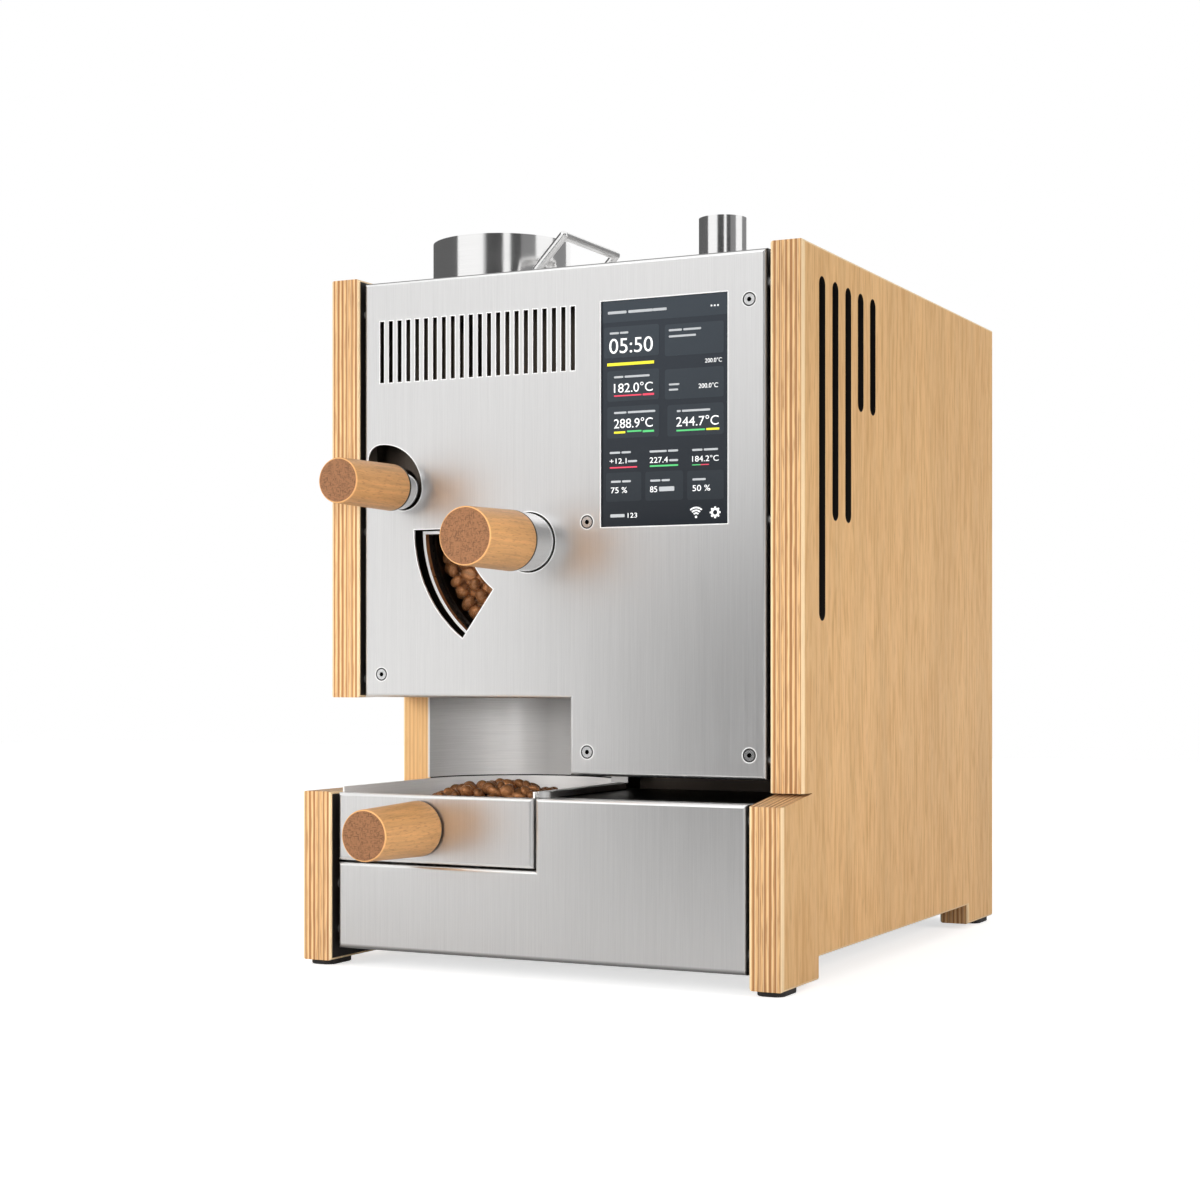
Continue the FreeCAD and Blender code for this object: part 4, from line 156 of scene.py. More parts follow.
class Finish:
    """A node material, built a few nodes at a time."""

    def __init__(self, name, tint, roughness, metallic=0.0, **sockets):
        self.material = bpy.data.materials.new(name)
        self.material.use_nodes = True
        self.tree = self.material.node_tree
        self.shader = self.tree.nodes["Principled BSDF"]
        self.shader.inputs["Base Color"].default_value = tint
        self.shader.inputs["Roughness"].default_value = roughness
        self.shader.inputs["Metallic"].default_value = metallic
        for socket, value in sockets.items():
            self.shader.inputs[socket].default_value = value

    def node(self, kind, links=None, **settings):
        made = self.tree.nodes.new(kind)
        for setting, value in settings.items():
            setattr(made, setting, value)
        for socket, source in (links or {}).items():
            self.put(source, made.inputs[socket])
        return made

    def put(self, source, socket):
        if isinstance(source, bpy.types.NodeSocket):
            self.tree.links.new(source, socket)
        else:
            socket.default_value = source

    def grain(self, scale, turn=(0, 0, 0), detail=2.0, roughness=0.5, distortion=0.0):
        """Noise fixed to the piece; scale holds its waves per metre along each axis."""
        coords = self.node("ShaderNodeTexCoord")
        place = self.node("ShaderNodeMapping", {0: coords.outputs["Object"], "Scale": scale,
                                                "Rotation": turn}).outputs[0]
        return self.node("ShaderNodeTexNoise", {
            "Vector": place, "Scale": 1.0, "Detail": detail, "Roughness": roughness,
            "Distortion": distortion}).outputs[0]

    def steps(self, factor, low, high, start=0.0, end=1.0):
        return self.node("ShaderNodeMapRange", {
            0: factor, 1: low, 2: high, 3: start, 4: end}, clamp=True).outputs[0]

    def math(self, operation, first, second=0.0):
        return self.node("ShaderNodeMath", {0: first, 1: second}, operation=operation).outputs[0]

    def times(self, first, second):
        return self.math("MULTIPLY", first, second)

    def mix(self, factor, first, second):
        made = self.node("ShaderNodeMix", data_type="RGBA")
        self.put(factor, made.inputs[0])
        self.put(first, made.inputs[6])
        self.put(second, made.inputs[7])
        return made.outputs[2]

    def over(self, under, top, factor, low, high, share=1.0):
        """Lays a colour over another where the factor passes from low to high."""
        mask = self.steps(factor, low, high)
        if share < 1.0:
            mask = self.times(mask, share)
        return self.mix(mask, under, top)

    def bump(self, height, depth, strength=1.0):
        made = self.node("ShaderNodeBump", {"Strength": strength, "Distance": depth,
                                            "Height": height})
        self.put(made.outputs[0], self.shader.inputs["Normal"])

    def colour(self, source):
        self.put(source, self.shader.inputs["Base Color"])

    def roughness(self, source):
        self.put(source, self.shader.inputs["Roughness"])

    def facing(self, axis):
        """How squarely the surface faces along one axis, from 0 to 1."""
        geometry = self.node("ShaderNodeNewGeometry")
        split = self.node("ShaderNodeSeparateXYZ", {0: geometry.outputs["Normal"]})
        return self.math("ABSOLUTE", split.outputs[axis])

    def along(self, axis):
        """Distance along one axis of the piece, in metres."""
        coords = self.node("ShaderNodeTexCoord")
        return self.node("ShaderNodeSeparateXYZ", {0: coords.outputs["Object"]}).outputs[axis]


def shaded(tint, share):
    return tuple(share * part for part in tint[:3]) + (1.0,)


def dress(material, *nodes):
    """Gives CAD nodes one finish."""
    for name in nodes:
        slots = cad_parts[name].data.materials
        slots.clear()
        slots.append(material)


def brushed_finish(name, tint, roughness, grain=(3400.0, 3400.0, 26.0), bands=(420.0, 420.0, 2.0),
                   metallic=1.0, painted_fold_highlight=False, hem=None, brow=None):
    """Steel with fine parallel scratches; grain holds the scratches per metre along each axis.
    Lying bends can be made near white as a painted highlight; hem and brow are the heights of
    the bottom and of the top edge whose outermost line gets painted shade."""
    finish = Finish(name, tint, roughness, metallic=metallic)
    scratches = finish.grain(grain, detail=3.0, roughness=0.7)
    wide = finish.grain(bands, detail=2.0)
    both = finish.math("ADD", finish.times(scratches, 0.78),
                       finish.times(wide, 0.22))
    skin = finish.over(shaded(tint, 0.95), shaded(tint, 1.04), both, 0.36, 0.64)
    # Painted highlight: faces that lie flat or nearly flat are made near white.
    if painted_fold_highlight:
        fold_highlight = finish.steps(finish.facing("Z"), 0.12, 0.4)
        skin = finish.mix(fold_highlight, skin, (1.0, 1.0, 0.99, 1.0))
    # Painted shade: the bottom edge's last few millimetres darken.
    if hem is not None:
        shade = finish.steps(finish.along("Z"), hem + HEM_SHADE[0], hem + HEM_SHADE[1])
        skin = finish.mix(shade, skin, shaded(tint, 0.42))
    # Painted shade: the top edge's last millimetre darkens, on its bent faces only.
    if brow is not None:
        shade = finish.steps(finish.along("Z"), brow - BROW_SHADE[0], brow - BROW_SHADE[1])
        bent = finish.steps(finish.facing("Z"), 0.99, 0.93)
        skin = finish.mix(finish.times(shade, bent), skin, shaded(tint, 0.16))
    finish.colour(skin)
    finish.roughness(finish.steps(both, 0.3, 0.7, roughness - 0.04, roughness + 0.05))
    finish.bump(scratches, 0.000008, 0.4)
    return finish.material


# Where the painted shade of a panel's lower and upper edge begins and is full, from that edge.
HEM_SHADE = (0.0034, 0.0016)
BROW_SHADE = (0.0012, 0.0006)


def bay_finish(tint):
    """Curved satin liner brushed level, with a painted highlight: a pale upright band, darker to
    each side.
    """
    finish = Finish("satin_bay", tint, 0.34, metallic=0.2)
    scratches = finish.grain((26, 26, 3400), detail=3.0, roughness=0.7)
    low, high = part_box("bay_wall")
    highlight_middle = low.x + BAY_HIGHLIGHT_SHARE * (high.x - low.x)
    away = finish.math("ABSOLUTE", finish.math("SUBTRACT", finish.along("X"), highlight_middle))
    # Painted highlight: pale along the band, darker to each side.
    skin = finish.over(shaded(tint, 0.6), shaded(tint, 1.1), away, *BAY_HIGHLIGHT_BAND)
    worn = finish.times(finish.steps(scratches, 0.62, 0.38), 0.16)
    finish.colour(finish.mix(worn, skin, shaded(tint, 0.3)))
    finish.bump(scratches, 0.000008, 0.4)
    return finish.material


# The painted highlight's pale band: its middle as a share of the wall's width, and where it ends
# and is full.
BAY_HIGHLIGHT_SHARE = 0.155
BAY_HIGHLIGHT_BAND = (0.034, 0.002)


def veneer_finish(colours):
    """Upright veneer on the faces and the plywood's layers on the edges."""
    finish = Finish("oiled_plywood", colours.veneer_pale, 0.46, **{"Specular IOR Level": 0.35})
    tilt = (0.07, 0, 0)
    figure = finish.grain((22, 22, 2.4), turn=tilt, detail=3.0, distortion=0.8)
    dashes = finish.grain((270, 270, 20), turn=tilt, detail=3.0,
                          roughness=0.55, distortion=0.7)
    pores = finish.grain((900, 900, 55), turn=tilt, detail=2.0)
    face = finish.over(colours.veneer_pale, shaded(colours.veneer_pale, 0.88), figure, 0.38, 0.66)
    face = finish.over(face, colours.veneer_deep, dashes, 0.46, 0.66, 0.55)
    face = finish.over(face, shaded(colours.veneer_deep, 0.75), pores, 0.56, 0.68, 0.42)
    wander = finish.times(finish.grain((40, 40, 12)), 0.0009)
    across = finish.math("ADD", finish.along("X"), wander)
    layers = finish.math("SINE", finish.times(across, math.pi / colours.ply_layer))
    glued = finish.math("SINE", finish.times(across, 1.27 * math.pi / colours.ply_layer))
    edge = finish.over(colours.ply_pale, colours.ply_deep, layers, -0.5, 0.5)
    edge = finish.over(edge, shaded(colours.ply_deep, 0.8), pores, 0.45, 0.65, 0.55)
    edge = finish.over(edge, colours.glue_and_edge_sheen, glued, 0.72, 0.95, 0.55)
    square = finish.facing("X")
    post = finish.times(finish.steps(finish.along("Y"), POST[0], POST[0] + POST_FADE),
                        finish.steps(finish.along("Y"), POST[1], POST[1] - POST_FADE))
    edge = finish.mix(finish.times(post, 0.7), edge, shaded(colours.veneer_pale, 0.8))
    skin = finish.over(edge, face, square, 0.55, 0.75)
    # Sanding and painted highlight: the rounded edges between faces turn cream.
    sanded_sheen = finish.times(finish.steps(square, 0.12, 0.4), finish.steps(square, 0.985, 0.9))
    skin = finish.mix(finish.times(sanded_sheen, 0.75), skin, colours.glue_and_edge_sheen)
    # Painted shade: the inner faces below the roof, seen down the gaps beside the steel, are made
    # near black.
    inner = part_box("side_panel_right")[0].x + INSIDE_SHADE_DEPTH
    inside = finish.steps(finish.math("ABSOLUTE", finish.along("X")), inner, inner - LINE_FADE)
    low_roof = finish.steps(finish.along("Z"), ROOF_LINE, ROOF_LINE - ROOF_FADE)
    skin = finish.mix(finish.times(inside, low_roof), skin, colours.inside_dark)
    finish.colour(finish.mix(vent_walls(finish, square), skin, colours.inside_dark))
    finish.roughness(finish.steps(dashes, 0.3, 0.7, 0.42, 0.55))
    finish.bump(finish.math("ADD", dashes, pores), 0.00012, 0.35)
    return finish.material


def vent_walls(finish, square):
    """One on the walls of the side panels' vents, and nothing elsewhere."""
    found = finish.steps(square, 0.5, 0.2)
    for axis, (low, high) in VENT_FIELD.items():
        place = finish.along(axis)
        found = finish.times(found, finish.steps(place, low, low + LINE_FADE))
        found = finish.times(found, finish.steps(place, high, high - LINE_FADE))
    return found


# Where the side panels' vents and the plain edge of the rear post lie, in metres.
VENT_FIELD = {"Y": (-0.150, 0.100), "Z": (0.200, 0.448)}
POST = (-0.120, 0.100)
# How far the painted shade of the inner faces reaches into the panel, and how soft the lines
# between finishes are.
INSIDE_SHADE_DEPTH = 0.0003
POST_FADE = 0.002
LINE_FADE = 0.0002
ROOF_FADE = 0.0005


def knob_finish(colours):
    """Turned beech: short flecks along the knob, hatched end grain and a black base ring."""
    finish = Finish("turned_beech", colours.knob_pale, 0.44, **{"Specular IOR Level": 0.4})
    grain = finish.grain((420, 26, 420), detail=4.0, distortion=0.4)
    flecks = finish.grain((1300, 190, 1300), detail=2.0)
    side = finish.over(shaded(colours.knob_pale, 1.08), shaded(colours.knob_pale, 0.82), grain,
                       0.35, 0.7)
    side = finish.over(side, colours.knob_deep, flecks, 0.54, 0.68, 0.5)
    rays = finish.grain((1500, 1, 420), turn=(0, 0.6, 0), detail=2.0)
    cross = finish.grain((420, 1, 1500), turn=(0, 0.6, 0), detail=2.0)
    hatch = finish.math("MAXIMUM", rays, cross)
    end = finish.over(shaded(colours.knob_end, 1.05), shaded(colours.knob_end, 0.5), hatch, 0.52,
                      0.68)
    square = finish.facing("Y")
    skin = finish.over(side, end, square, 0.9, 0.985)
    rim = finish.times(finish.steps(square, 0.2, 0.5), finish.steps(square, 0.99, 0.93))
    skin = finish.mix(finish.times(rim, 0.6), skin, shaded(colours.knob_pale, 1.15))
    coords = finish.node("ShaderNodeTexCoord")
    share = finish.node("ShaderNodeSeparateXYZ", {0: coords.outputs["Generated"]}).outputs["Y"]
    finish.colour(finish.over(skin, (0.012, 0.011, 0.011, 1.0), share, 0.970, 0.976))
    finish.bump(flecks, 0.0001, 0.3)
    return finish.material


def polished_finish(name, tint, roughness, turned=(6.0, 6.0, 5200.0)):
    """Turned and polished metal; turned holds the tool marks per metre along each axis."""
    finish = Finish(name, tint, roughness, metallic=1.0)
    marks = finish.grain(turned, detail=2.0)
    smear = finish.grain((30, 30, 30), detail=3.0)
    finish.roughness(finish.steps(smear, 0.3, 0.7, roughness * 0.8, roughness * 1.35))
    finish.colour(finish.over(shaded(tint, 0.96), tint, marks, 0.35, 0.65))
    finish.bump(marks, 0.000006, 0.35)
    return finish.material


def deck_finish(colours):
    """Deck made near black as painted shade, with a bright upstand."""
    finish = Finish("painted_shade_deck", shaded(colours.brushed, 0.08), 0.4, metallic=1.0)
    scratches = finish.grain((3400, 26, 3400), detail=3.0)
    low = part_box("lower_front_panel")[1].z
    rise = finish.steps(finish.along("Z"), low, low + 0.0006)
    # Painted shade: the deck is made near black; only its upstand, above the lower panel's top,
    # keeps the steel's colour.
    deck_shade = finish.over(shaded(colours.brushed, 0.05), shaded(colours.brushed, 0.07), scratches,
                        0.36, 0.64)
    finish.colour(finish.mix(rise, deck_shade, colours.brushed))
    finish.bump(scratches, 0.000008, 0.4)
    return finish.material


def sheet_finish(name, tint, roughness=0.42, metallic=1.0):
    """Plain sheet metal with the cloudy look of a rolled surface."""
    finish = Finish(name, tint, roughness, metallic=metallic)
    cloud = finish.grain((18, 18, 18), detail=4.0)
    rolled = finish.grain((900, 60, 60), detail=2.0)
    finish.colour(finish.over(shaded(tint, 0.88), shaded(tint, 1.06), cloud, 0.3, 0.7))
    finish.roughness(finish.steps(rolled, 0.3, 0.7, roughness - 0.06, roughness + 0.08))
    finish.bump(rolled, 0.00002, 0.3)
    return finish.material


def moulded_finish(name, tint, roughness=0.5):
    """Moulded plastic or rubber with a fine sparked texture."""
    finish = Finish(name, tint, roughness)
    spark = finish.grain((2200, 2200, 2200), detail=1.0)
    cloud = finish.grain((60, 60, 60), detail=2.0)
    finish.colour(finish.over(shaded(tint, 0.85), shaded(tint, 1.2), cloud, 0.3, 0.7))
    finish.roughness(finish.steps(cloud, 0.3, 0.7, roughness - 0.06, roughness + 0.06))
    finish.bump(spark, 0.00004, 0.35)
    return finish.material


def bean_finish(colours):
    """Oily roasted beans: each one a little lighter or darker, with a paler crease."""
    finish = Finish("roasted_coffee", colours.roast, 0.26, metallic=0.45,
                    **{"Specular IOR Level": 0.3, "Coat Weight": 0.25, "Coat Roughness": 0.08})
    tone = finish.node("ShaderNodeAttribute", attribute_name="tone").outputs["Fac"]
    crease = finish.node("ShaderNodeAttribute", attribute_name="crease").outputs["Fac"]
    skin = finish.grain((260, 260, 260), detail=3.0)
    body = finish.mix(tone, shaded(colours.roast, 0.62), shaded(colours.roast, 1.5))
    body = finish.over(body, shaded(colours.roast, 0.55), skin, 0.35, 0.7, 0.5)
    finish.colour(finish.mix(crease, body, colours.crease))
    finish.roughness(finish.steps(skin, 0.3, 0.7, 0.20, 0.36))
    finish.bump(skin, 0.0002, 0.4)
    return finish.material


def glass_finish():
    """Clear sight glass, with a faint wiped smear in its colour only."""
    finish = Finish("sight_glass_clear", (0.97, 0.98, 0.98, 1.0), 0.0,
                    **{"Transmission Weight": 1.0, "IOR": 1.2, "Alpha": 0.12})
    wipe = finish.grain((40, 40, 40), detail=3.0)
    finish.colour(finish.over((0.99, 0.99, 0.99, 1.0), (0.95, 0.955, 0.955, 1.0), wipe, 0.4, 0.7))
    return finish.material


def socket_finish():
    """Satin screw heads with black sockets in painted shade: what lies behind the panel's face is
    dark.
    """
    finish = Finish("socket_screws", (0.66, 0.66, 0.66, 1.0), 0.26, metallic=1.0)
    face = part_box("front_screws")[0].y
    deep = finish.steps(finish.along("Y"), face + 0.0001, face + 0.0004)
    turned = finish.grain((900, 900, 900), detail=2.0)
    head = finish.over((0.60, 0.60, 0.60, 1.0), (0.72, 0.72, 0.72, 1.0), turned, 0.3, 0.7)
    # Painted shade: all behind the front of the heads turns near black.
    finish.colour(finish.mix(deep, head, (0.006, 0.006, 0.006, 1.0)))
    return finish.material


def frame_finish(bronze):
    """The window's frame: a satin front rim and bronze walls round the glass, darkened deeper in as
    painted shade.
    """
    finish = Finish("window_rim", (0.9, 0.9, 0.89, 1.0), 0.32, metallic=1.0)
    smear = finish.grain((300, 300, 300), detail=2.0)
    front = finish.steps(finish.facing("Y"), 0.4, 0.8)
    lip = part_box("window_frame")[0].y + LIP_DEPTH
    deep = finish.steps(finish.along("Y"), lip, lip + LIP_FADE)
    # Painted shade: the walls turn near black beyond the lip.
    wall = finish.mix(deep, bronze, (0.02, 0.016, 0.013, 1.0))
    finish.colour(finish.mix(front, wall, (0.96, 0.96, 0.95, 1.0)))
    finish.put(finish.steps(front, 0.0, 1.0, 0.6, 0.0), finish.shader.inputs["Metallic"])
    finish.roughness(finish.steps(smear, 0.3, 0.7, 0.26, 0.38))
    return finish.material


# How deep the bronze lip of the window is, and over what depth it turns dark as painted shade.
LIP_DEPTH = 0.0038
LIP_FADE = 0.0008


def screen_finish(name, tint, low, high):
    """A lit screen face, a little lighter at its top edge than at its bottom edge."""
    finish = Finish(name, tint, 0.16, **{"Specular IOR Level": 0.3, "Coat Weight": 0.04,
                                         "Coat Roughness": 0.05})
    rise = finish.steps(finish.along("Z"), low, high)
    grain = finish.grain((500, 500, 500), detail=1.0)
    body = finish.mix(rise, shaded(tint, 0.7), shaded(tint, 1.7))
    finish.colour(finish.mix(finish.times(grain, 0.12), body, shaded(tint, 1.6)))
    return finish.material


def lit_finish(name, tint, strength=0.25):
    """Figures and bars that the screen lights up."""
    finish = Finish(name, tint, 0.4, **{"Emission Color": tint, "Emission Strength": strength})
    glow = finish.grain((300, 300, 300), detail=1.0)
    finish.colour(finish.over(shaded(tint, 0.95), tint, glow, 0.3, 0.7))
    return finish.material


# --------------------------------------------------------------------------- meshes


def add_object(name, data):
    made = bpy.data.objects.new(name, data)
    bpy.context.scene.collection.objects.link(made)
    return made


def add_piece(name, mesh, body, material):
    piece = add_object(name, mesh)
    mesh.materials.clear()
    mesh.materials.append(material)
    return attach(piece, body)


def rounded_outline(left, bottom, right, top, radius, corner_steps=5):
    """Points round a rectangle with rounded corners, in the plane of the screen."""
    radius = min(radius, (right - left) / 2, (top - bottom) / 2)
    centres = [(right - radius, top - radius, 0), (left + radius, top - radius, 90),
               (left + radius, bottom + radius, 180), (right - radius, bottom + radius, 270)]
    points = []
    for x, z, start in centres:
        for step in range(corner_steps + 1):
            angle = math.radians(start + 90 * step / corner_steps)
            points.append((x + radius * math.cos(angle), z + radius * math.sin(angle)))
    return points


def ring_outline(x, z, outer, inner, start, end, steps=12):
    """Points round a stretch of a ring, angles in degrees."""
    angles = [math.radians(start + (end - start) * step / steps) for step in range(steps + 1)]
    out = [(x + outer * math.cos(a), z + outer * math.sin(a)) for a in angles]
    back = [(x + inner * math.cos(a), z + inner * math.sin(a)) for a in reversed(angles)]
    return out + back


def outer_mesh(name, shape):
    """Makes a mesh of a bmesh with its faces turned outwards, and frees the bmesh."""
    bmesh.ops.recalc_face_normals(shape, faces=shape.faces)
    mesh = bpy.data.meshes.new(name)
    shape.to_mesh(mesh)
    shape.free()
    return mesh


def plates_mesh(name, outlines, face_y, height):
    """One mesh of thin plates that stand on the plane face_y, towards the front."""
    shape = bmesh.new()
    for outline in outlines:
        back = [shape.verts.new((x, face_y, z)) for x, z in outline]
        front = [shape.verts.new((x, face_y - height, z)) for x, z in outline]
        shape.faces.new(front)
        shape.faces.new(list(reversed(back)))
        for here in range(len(outline)):
            there = (here + 1) % len(outline)
            shape.faces.new((front[there], front[here], back[here], back[there]))
    return outer_mesh(name, shape)


def bean_shape():
    """Points, faces and crease marks of one bean of length 1, lying along X."""
    shape = bmesh.new()
    bmesh.ops.create_uvsphere(shape, u_segments=16, v_segments=11, radius=0.5,
                              matrix=Matrix.Rotation(math.pi / 2, 4, "Y"))
    points, marks = [], []
    for vert in shape.verts:
        x, y, z = vert.co
        groove = math.exp(-(y / 0.055) ** 2) * max(0.0, 1 - (x / 0.46) ** 4)
        if z < 0:
            z = z * 0.62 + 0.13 * groove
        points.append(Vector((x, y * 0.80, z * 0.74)))
        marks.append(groove if z < 0.05 else 0.0)
    shape.verts.index_update()
    faces = [[vert.index for vert in face.verts] for face in shape.faces]
    shape.free()
    return points, faces, marks


def beans_mesh(name, places, bean_length, dice, pressed=False):
    """One mesh of many beans; places are their middles. Pressed ones lie flat to the front."""
    points, faces, marks = bean_shape()
    all_points, all_faces, all_marks, tones = [], [], [], []
    for place in places:
        start = len(all_points)
        size = bean_length * dice.uniform(0.88, 1.1)
        turn = Matrix.Rotation(dice.uniform(0, 2 * math.pi), 3, "Z")
        turn = turn @ Matrix.Rotation(dice.uniform(0, 2 * math.pi), 3, "X")
        turn = turn @ Matrix.Rotation(dice.uniform(-0.6, 0.6), 3, "Y")
        if pressed:
            over = math.pi / 2 * dice.choice((1, 1, -1)) + dice.uniform(-0.35, 0.35)
            turn = Matrix.Rotation(dice.uniform(0, math.pi), 3, "Y")
            turn = turn @ Matrix.Rotation(over, 3, "X")
        plump = Matrix.Diagonal((size, size * dice.uniform(0.92, 1.1), size))
        tone = dice.random()
        all_points.extend(place + turn @ plump @ point for point in points)
        all_faces.extend([start + corner for corner in face] for face in faces)
        all_marks.extend(marks)
        tones.extend([tone] * len(points))
    mesh = bpy.data.meshes.new(name)
    mesh.from_pydata(all_points, [], all_faces)
    for label, values in (("tone", tones), ("crease", all_marks)):
        mesh.attributes.new(label, "FLOAT", "POINT").data.foreach_set("value", values)
    mesh.shade_smooth()
    return mesh


def settled(count, reach, floor, roof, spread, dice, tries=60000):
    """Middles of beans dropped one by one: each stops on the floor or on those below it."""
    cells, places = {}, []
    for _ in range(tries):
        if len(places) == count:
            break
        x, y = dice.uniform(*reach[0]), dice.uniform(*reach[1])
        low = floor(x, y)
        if low is None:
            continue
        cell = (round(x / spread), round(y / spread))
        near = [other for i in (-1, 0, 1) for j in (-1, 0, 1)
                for other in cells.get((cell[0] + i, cell[1] + j), [])]
        z = low
        for other in near:
            gap = (other.x - x) ** 2 + (other.y - y) ** 2
            if gap < spread ** 2:
                z = max(z, other.z + math.sqrt(spread ** 2 - gap))
        if z <= roof(x, y):
            place = Vector((x, y, z))
            places.append(place)
            cells.setdefault(cell, []).append(place)
    return places


# --------------------------------------------------------------------------- studio


def area_light(name, place, target, size, power, tint=(1.0, 1.0, 1.0), spread=180.0):
    light = bpy.data.lights.new(name, "AREA")
    light.spread = math.radians(spread)
    light.size = size
    light.energy = power
    light.color = tint
    lamp = add_object(name, light)
    lamp.location = place
    lamp.visible_glossy = False
    lamp.visible_transmission = False
    lamp.rotation_euler = (Vector(target) - Vector(place)).to_track_quat("-Z", "Y").to_euler()


def seen_white(tree):
    """One for rays from the camera, a mirror or glass, and nothing for the light on the object."""
    path = tree.nodes.new("ShaderNodeLightPath")
    seen = path.outputs["Is Camera Ray"]
    for kind in ("Is Glossy Ray", "Is Transmission Ray"):
        either = tree.nodes.new("ShaderNodeMath")
        either.operation = "MAXIMUM"
        tree.links.new(seen, either.inputs[0])
        tree.links.new(path.outputs[kind], either.inputs[1])
        seen = either.outputs[0]
    return seen


def light_world(level):
    world = bpy.data.worlds.new("studio")
    bpy.context.scene.world = world
    world.use_nodes = True
    tree = world.node_tree
    plain = tree.nodes["Background"]
    plain.inputs["Strength"].default_value = level
    plain.inputs["Color"].default_value = (1.0, 1.0, 1.0, 1.0)
    white = tree.nodes.new("ShaderNodeBackground")
    white.inputs["Color"].default_value = (1.0, 1.0, 1.0, 1.0)
    white.inputs["Strength"].default_value = 1.0
    mixed = tree.nodes.new("ShaderNodeMixShader")
    tree.links.new(seen_white(tree), mixed.inputs[0])
    tree.links.new(plain.outputs[0], mixed.inputs[1])
    tree.links.new(white.outputs[0], mixed.inputs[2])
    tree.links.new(mixed.outputs[0], tree.nodes["World Output"].inputs["Surface"])


def floor_finish():
    """White floor that still takes the object's shadow."""
    finish = Finish("studio_floor", (0.8, 0.8, 0.8, 1.0), 0.9)
    tree = finish.tree
    glow = finish.node("ShaderNodeEmission", {"Color": (1.0, 1.0, 1.0, 1.0), "Strength": 0.62})
    both = finish.node("ShaderNodeAddShader")
    tree.links.new(finish.shader.outputs[0], both.inputs[0])
    tree.links.new(glow.outputs[0], both.inputs[1])
    path = finish.node("ShaderNodeLightPath")
    seen = finish.math("MAXIMUM", path.outputs["Is Camera Ray"],
                       path.outputs["Is Transmission Ray"])
    seen = finish.math("MAXIMUM", seen, finish.times(path.outputs["Is Glossy Ray"], 0.07))
    chosen = finish.node("ShaderNodeMixShader", {0: seen})
    tree.links.new(finish.shader.outputs[0], chosen.inputs[1])
    tree.links.new(both.outputs[0], chosen.inputs[2])
    tree.links.new(chosen.outputs[0], tree.nodes["Material Output"].inputs["Surface"])
    return finish.material


def metal_card(name, start, end, away, low, high, tone):
    """A curved card that only shows in shiny faces, from one angle of the room to another."""
    corners = []
    for step in range(CARD_STEPS + 1):
        angle = math.radians(start + (end - start) * step / CARD_STEPS)
        x, y = away * math.sin(angle), -away * math.cos(angle)
        corners += [(x, y, low), (x, y, high)]
    faces = [(2 * step, 2 * step + 2, 2 * step + 3, 2 * step + 1) for step in range(CARD_STEPS)]
    mesh = bpy.data.meshes.new(name)
    mesh.from_pydata(corners, [], faces)
    card = add_object(name, mesh)
    material = bpy.data.materials.new(name)
    material.use_nodes = True
    tree = material.node_tree
    tree.nodes.remove(tree.nodes["Principled BSDF"])
    glow = tree.nodes.new("ShaderNodeEmission")
    glow.inputs["Color"].default_value = (tone, tone, tone * 1.01, 1.0)
    tree.links.new(glow.outputs[0], tree.nodes["Material Output"].inputs["Surface"])
    mesh.materials.append(material)
    card.visible_camera = False
    card.visible_diffuse = False
    card.visible_shadow = False
    card.visible_transmission = False


class ROASTER_OT_studio(bpy.types.Operator):
    """Sets up the camera, the lights, the white floor and the cards that metal reflects"""
    bl_idname = "roaster.studio"
    bl_label = "Studio"

    def execute(self, context):
        sizes = context.scene.roaster_studio
        data = bpy.data.cameras.new("camera")
        data.sensor_width = 36.0
        data.lens = sizes.camera_lens
        data.shift_y = sizes.camera_rise
        data.clip_start = 0.05
        camera = add_object("camera", data)
        camera.location = sizes.camera_place
        camera.rotation_euler = (math.pi / 2, 0, sizes.camera_turn)
        context.scene.camera = camera
        context.scene.view_settings.view_transform = "Standard"
        light_world(sizes.world_level)
        middle = (CAD_BOX[0] + CAD_BOX[1]) / 2
        area_light("key", KEY_PLACE, middle, LAMP_SIZE, sizes.key_power, (1.0, 0.99, 0.975))
        area_light("fill", FILL_PLACE, middle, LAMP_SIZE, sizes.fill_power)
        low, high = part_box("tray_beans")
        bay = ((low.x + high.x) / 2, CAD_BOX[0].y / 2, high.z + BAY_TARGET_RISE)
        area_light("bay", BAY_LAMP_PLACE, bay, BAY_LAMP_SIZE, sizes.bay_power, spread=34.0)
        half = sizes.floor_size / 2
        mesh = bpy.data.meshes.new("floor")
        mesh.from_pydata([(-half, -half, 0), (half, -half, 0), (half, half, 0), (-half, half, 0)],
                         [], [(0, 1, 2, 3)])
        floor = add_object("floor", mesh)
        mesh.materials.append(floor_finish())
        for number, card in enumerate(CARDS_IN_METAL):
            metal_card(f"metal_card_{number}", *card)
        return {"FINISHED"}


# Where the lights stand and how wide they are, and how far above the beans the bay's light aims.
KEY_PLACE = (-1.3, -2.2, 0.8)
FILL_PLACE = (2.5, 0.2, 1.0)
LAMP_SIZE = 1.2
BAY_LAMP_PLACE = (0.5, -1.15, 0.24)
BAY_LAMP_SIZE = 0.22
BAY_TARGET_RISE = 0.075
# The cards that metal reflects, each as its first and last angle in degrees from the front
# towards the right, its distance, low edge and high edge in metres, and its tone.
CARD_STEPS = 8
CARDS_IN_METAL = [(-140, -50, 2.6, 0.45, 2.6, 0.12), (-4, 0, 2.6, 0.3, 2.6, 0.5),
                  (0, 28, 2.6, 0.3, 2.6, 0.07), (40, 58, 2.6, 0.3, 2.6, 0.08),
                  (58, 85, 2.6, 0.3, 2.6, 0.24), (122, 165, 2.6, 0.3, 2.6, 0.25),
                  (-19, 6, 0.9, 0.0, 0.34, 0.12), (-30, 10, 1.9, 1.3, 1.8, 3.0)]


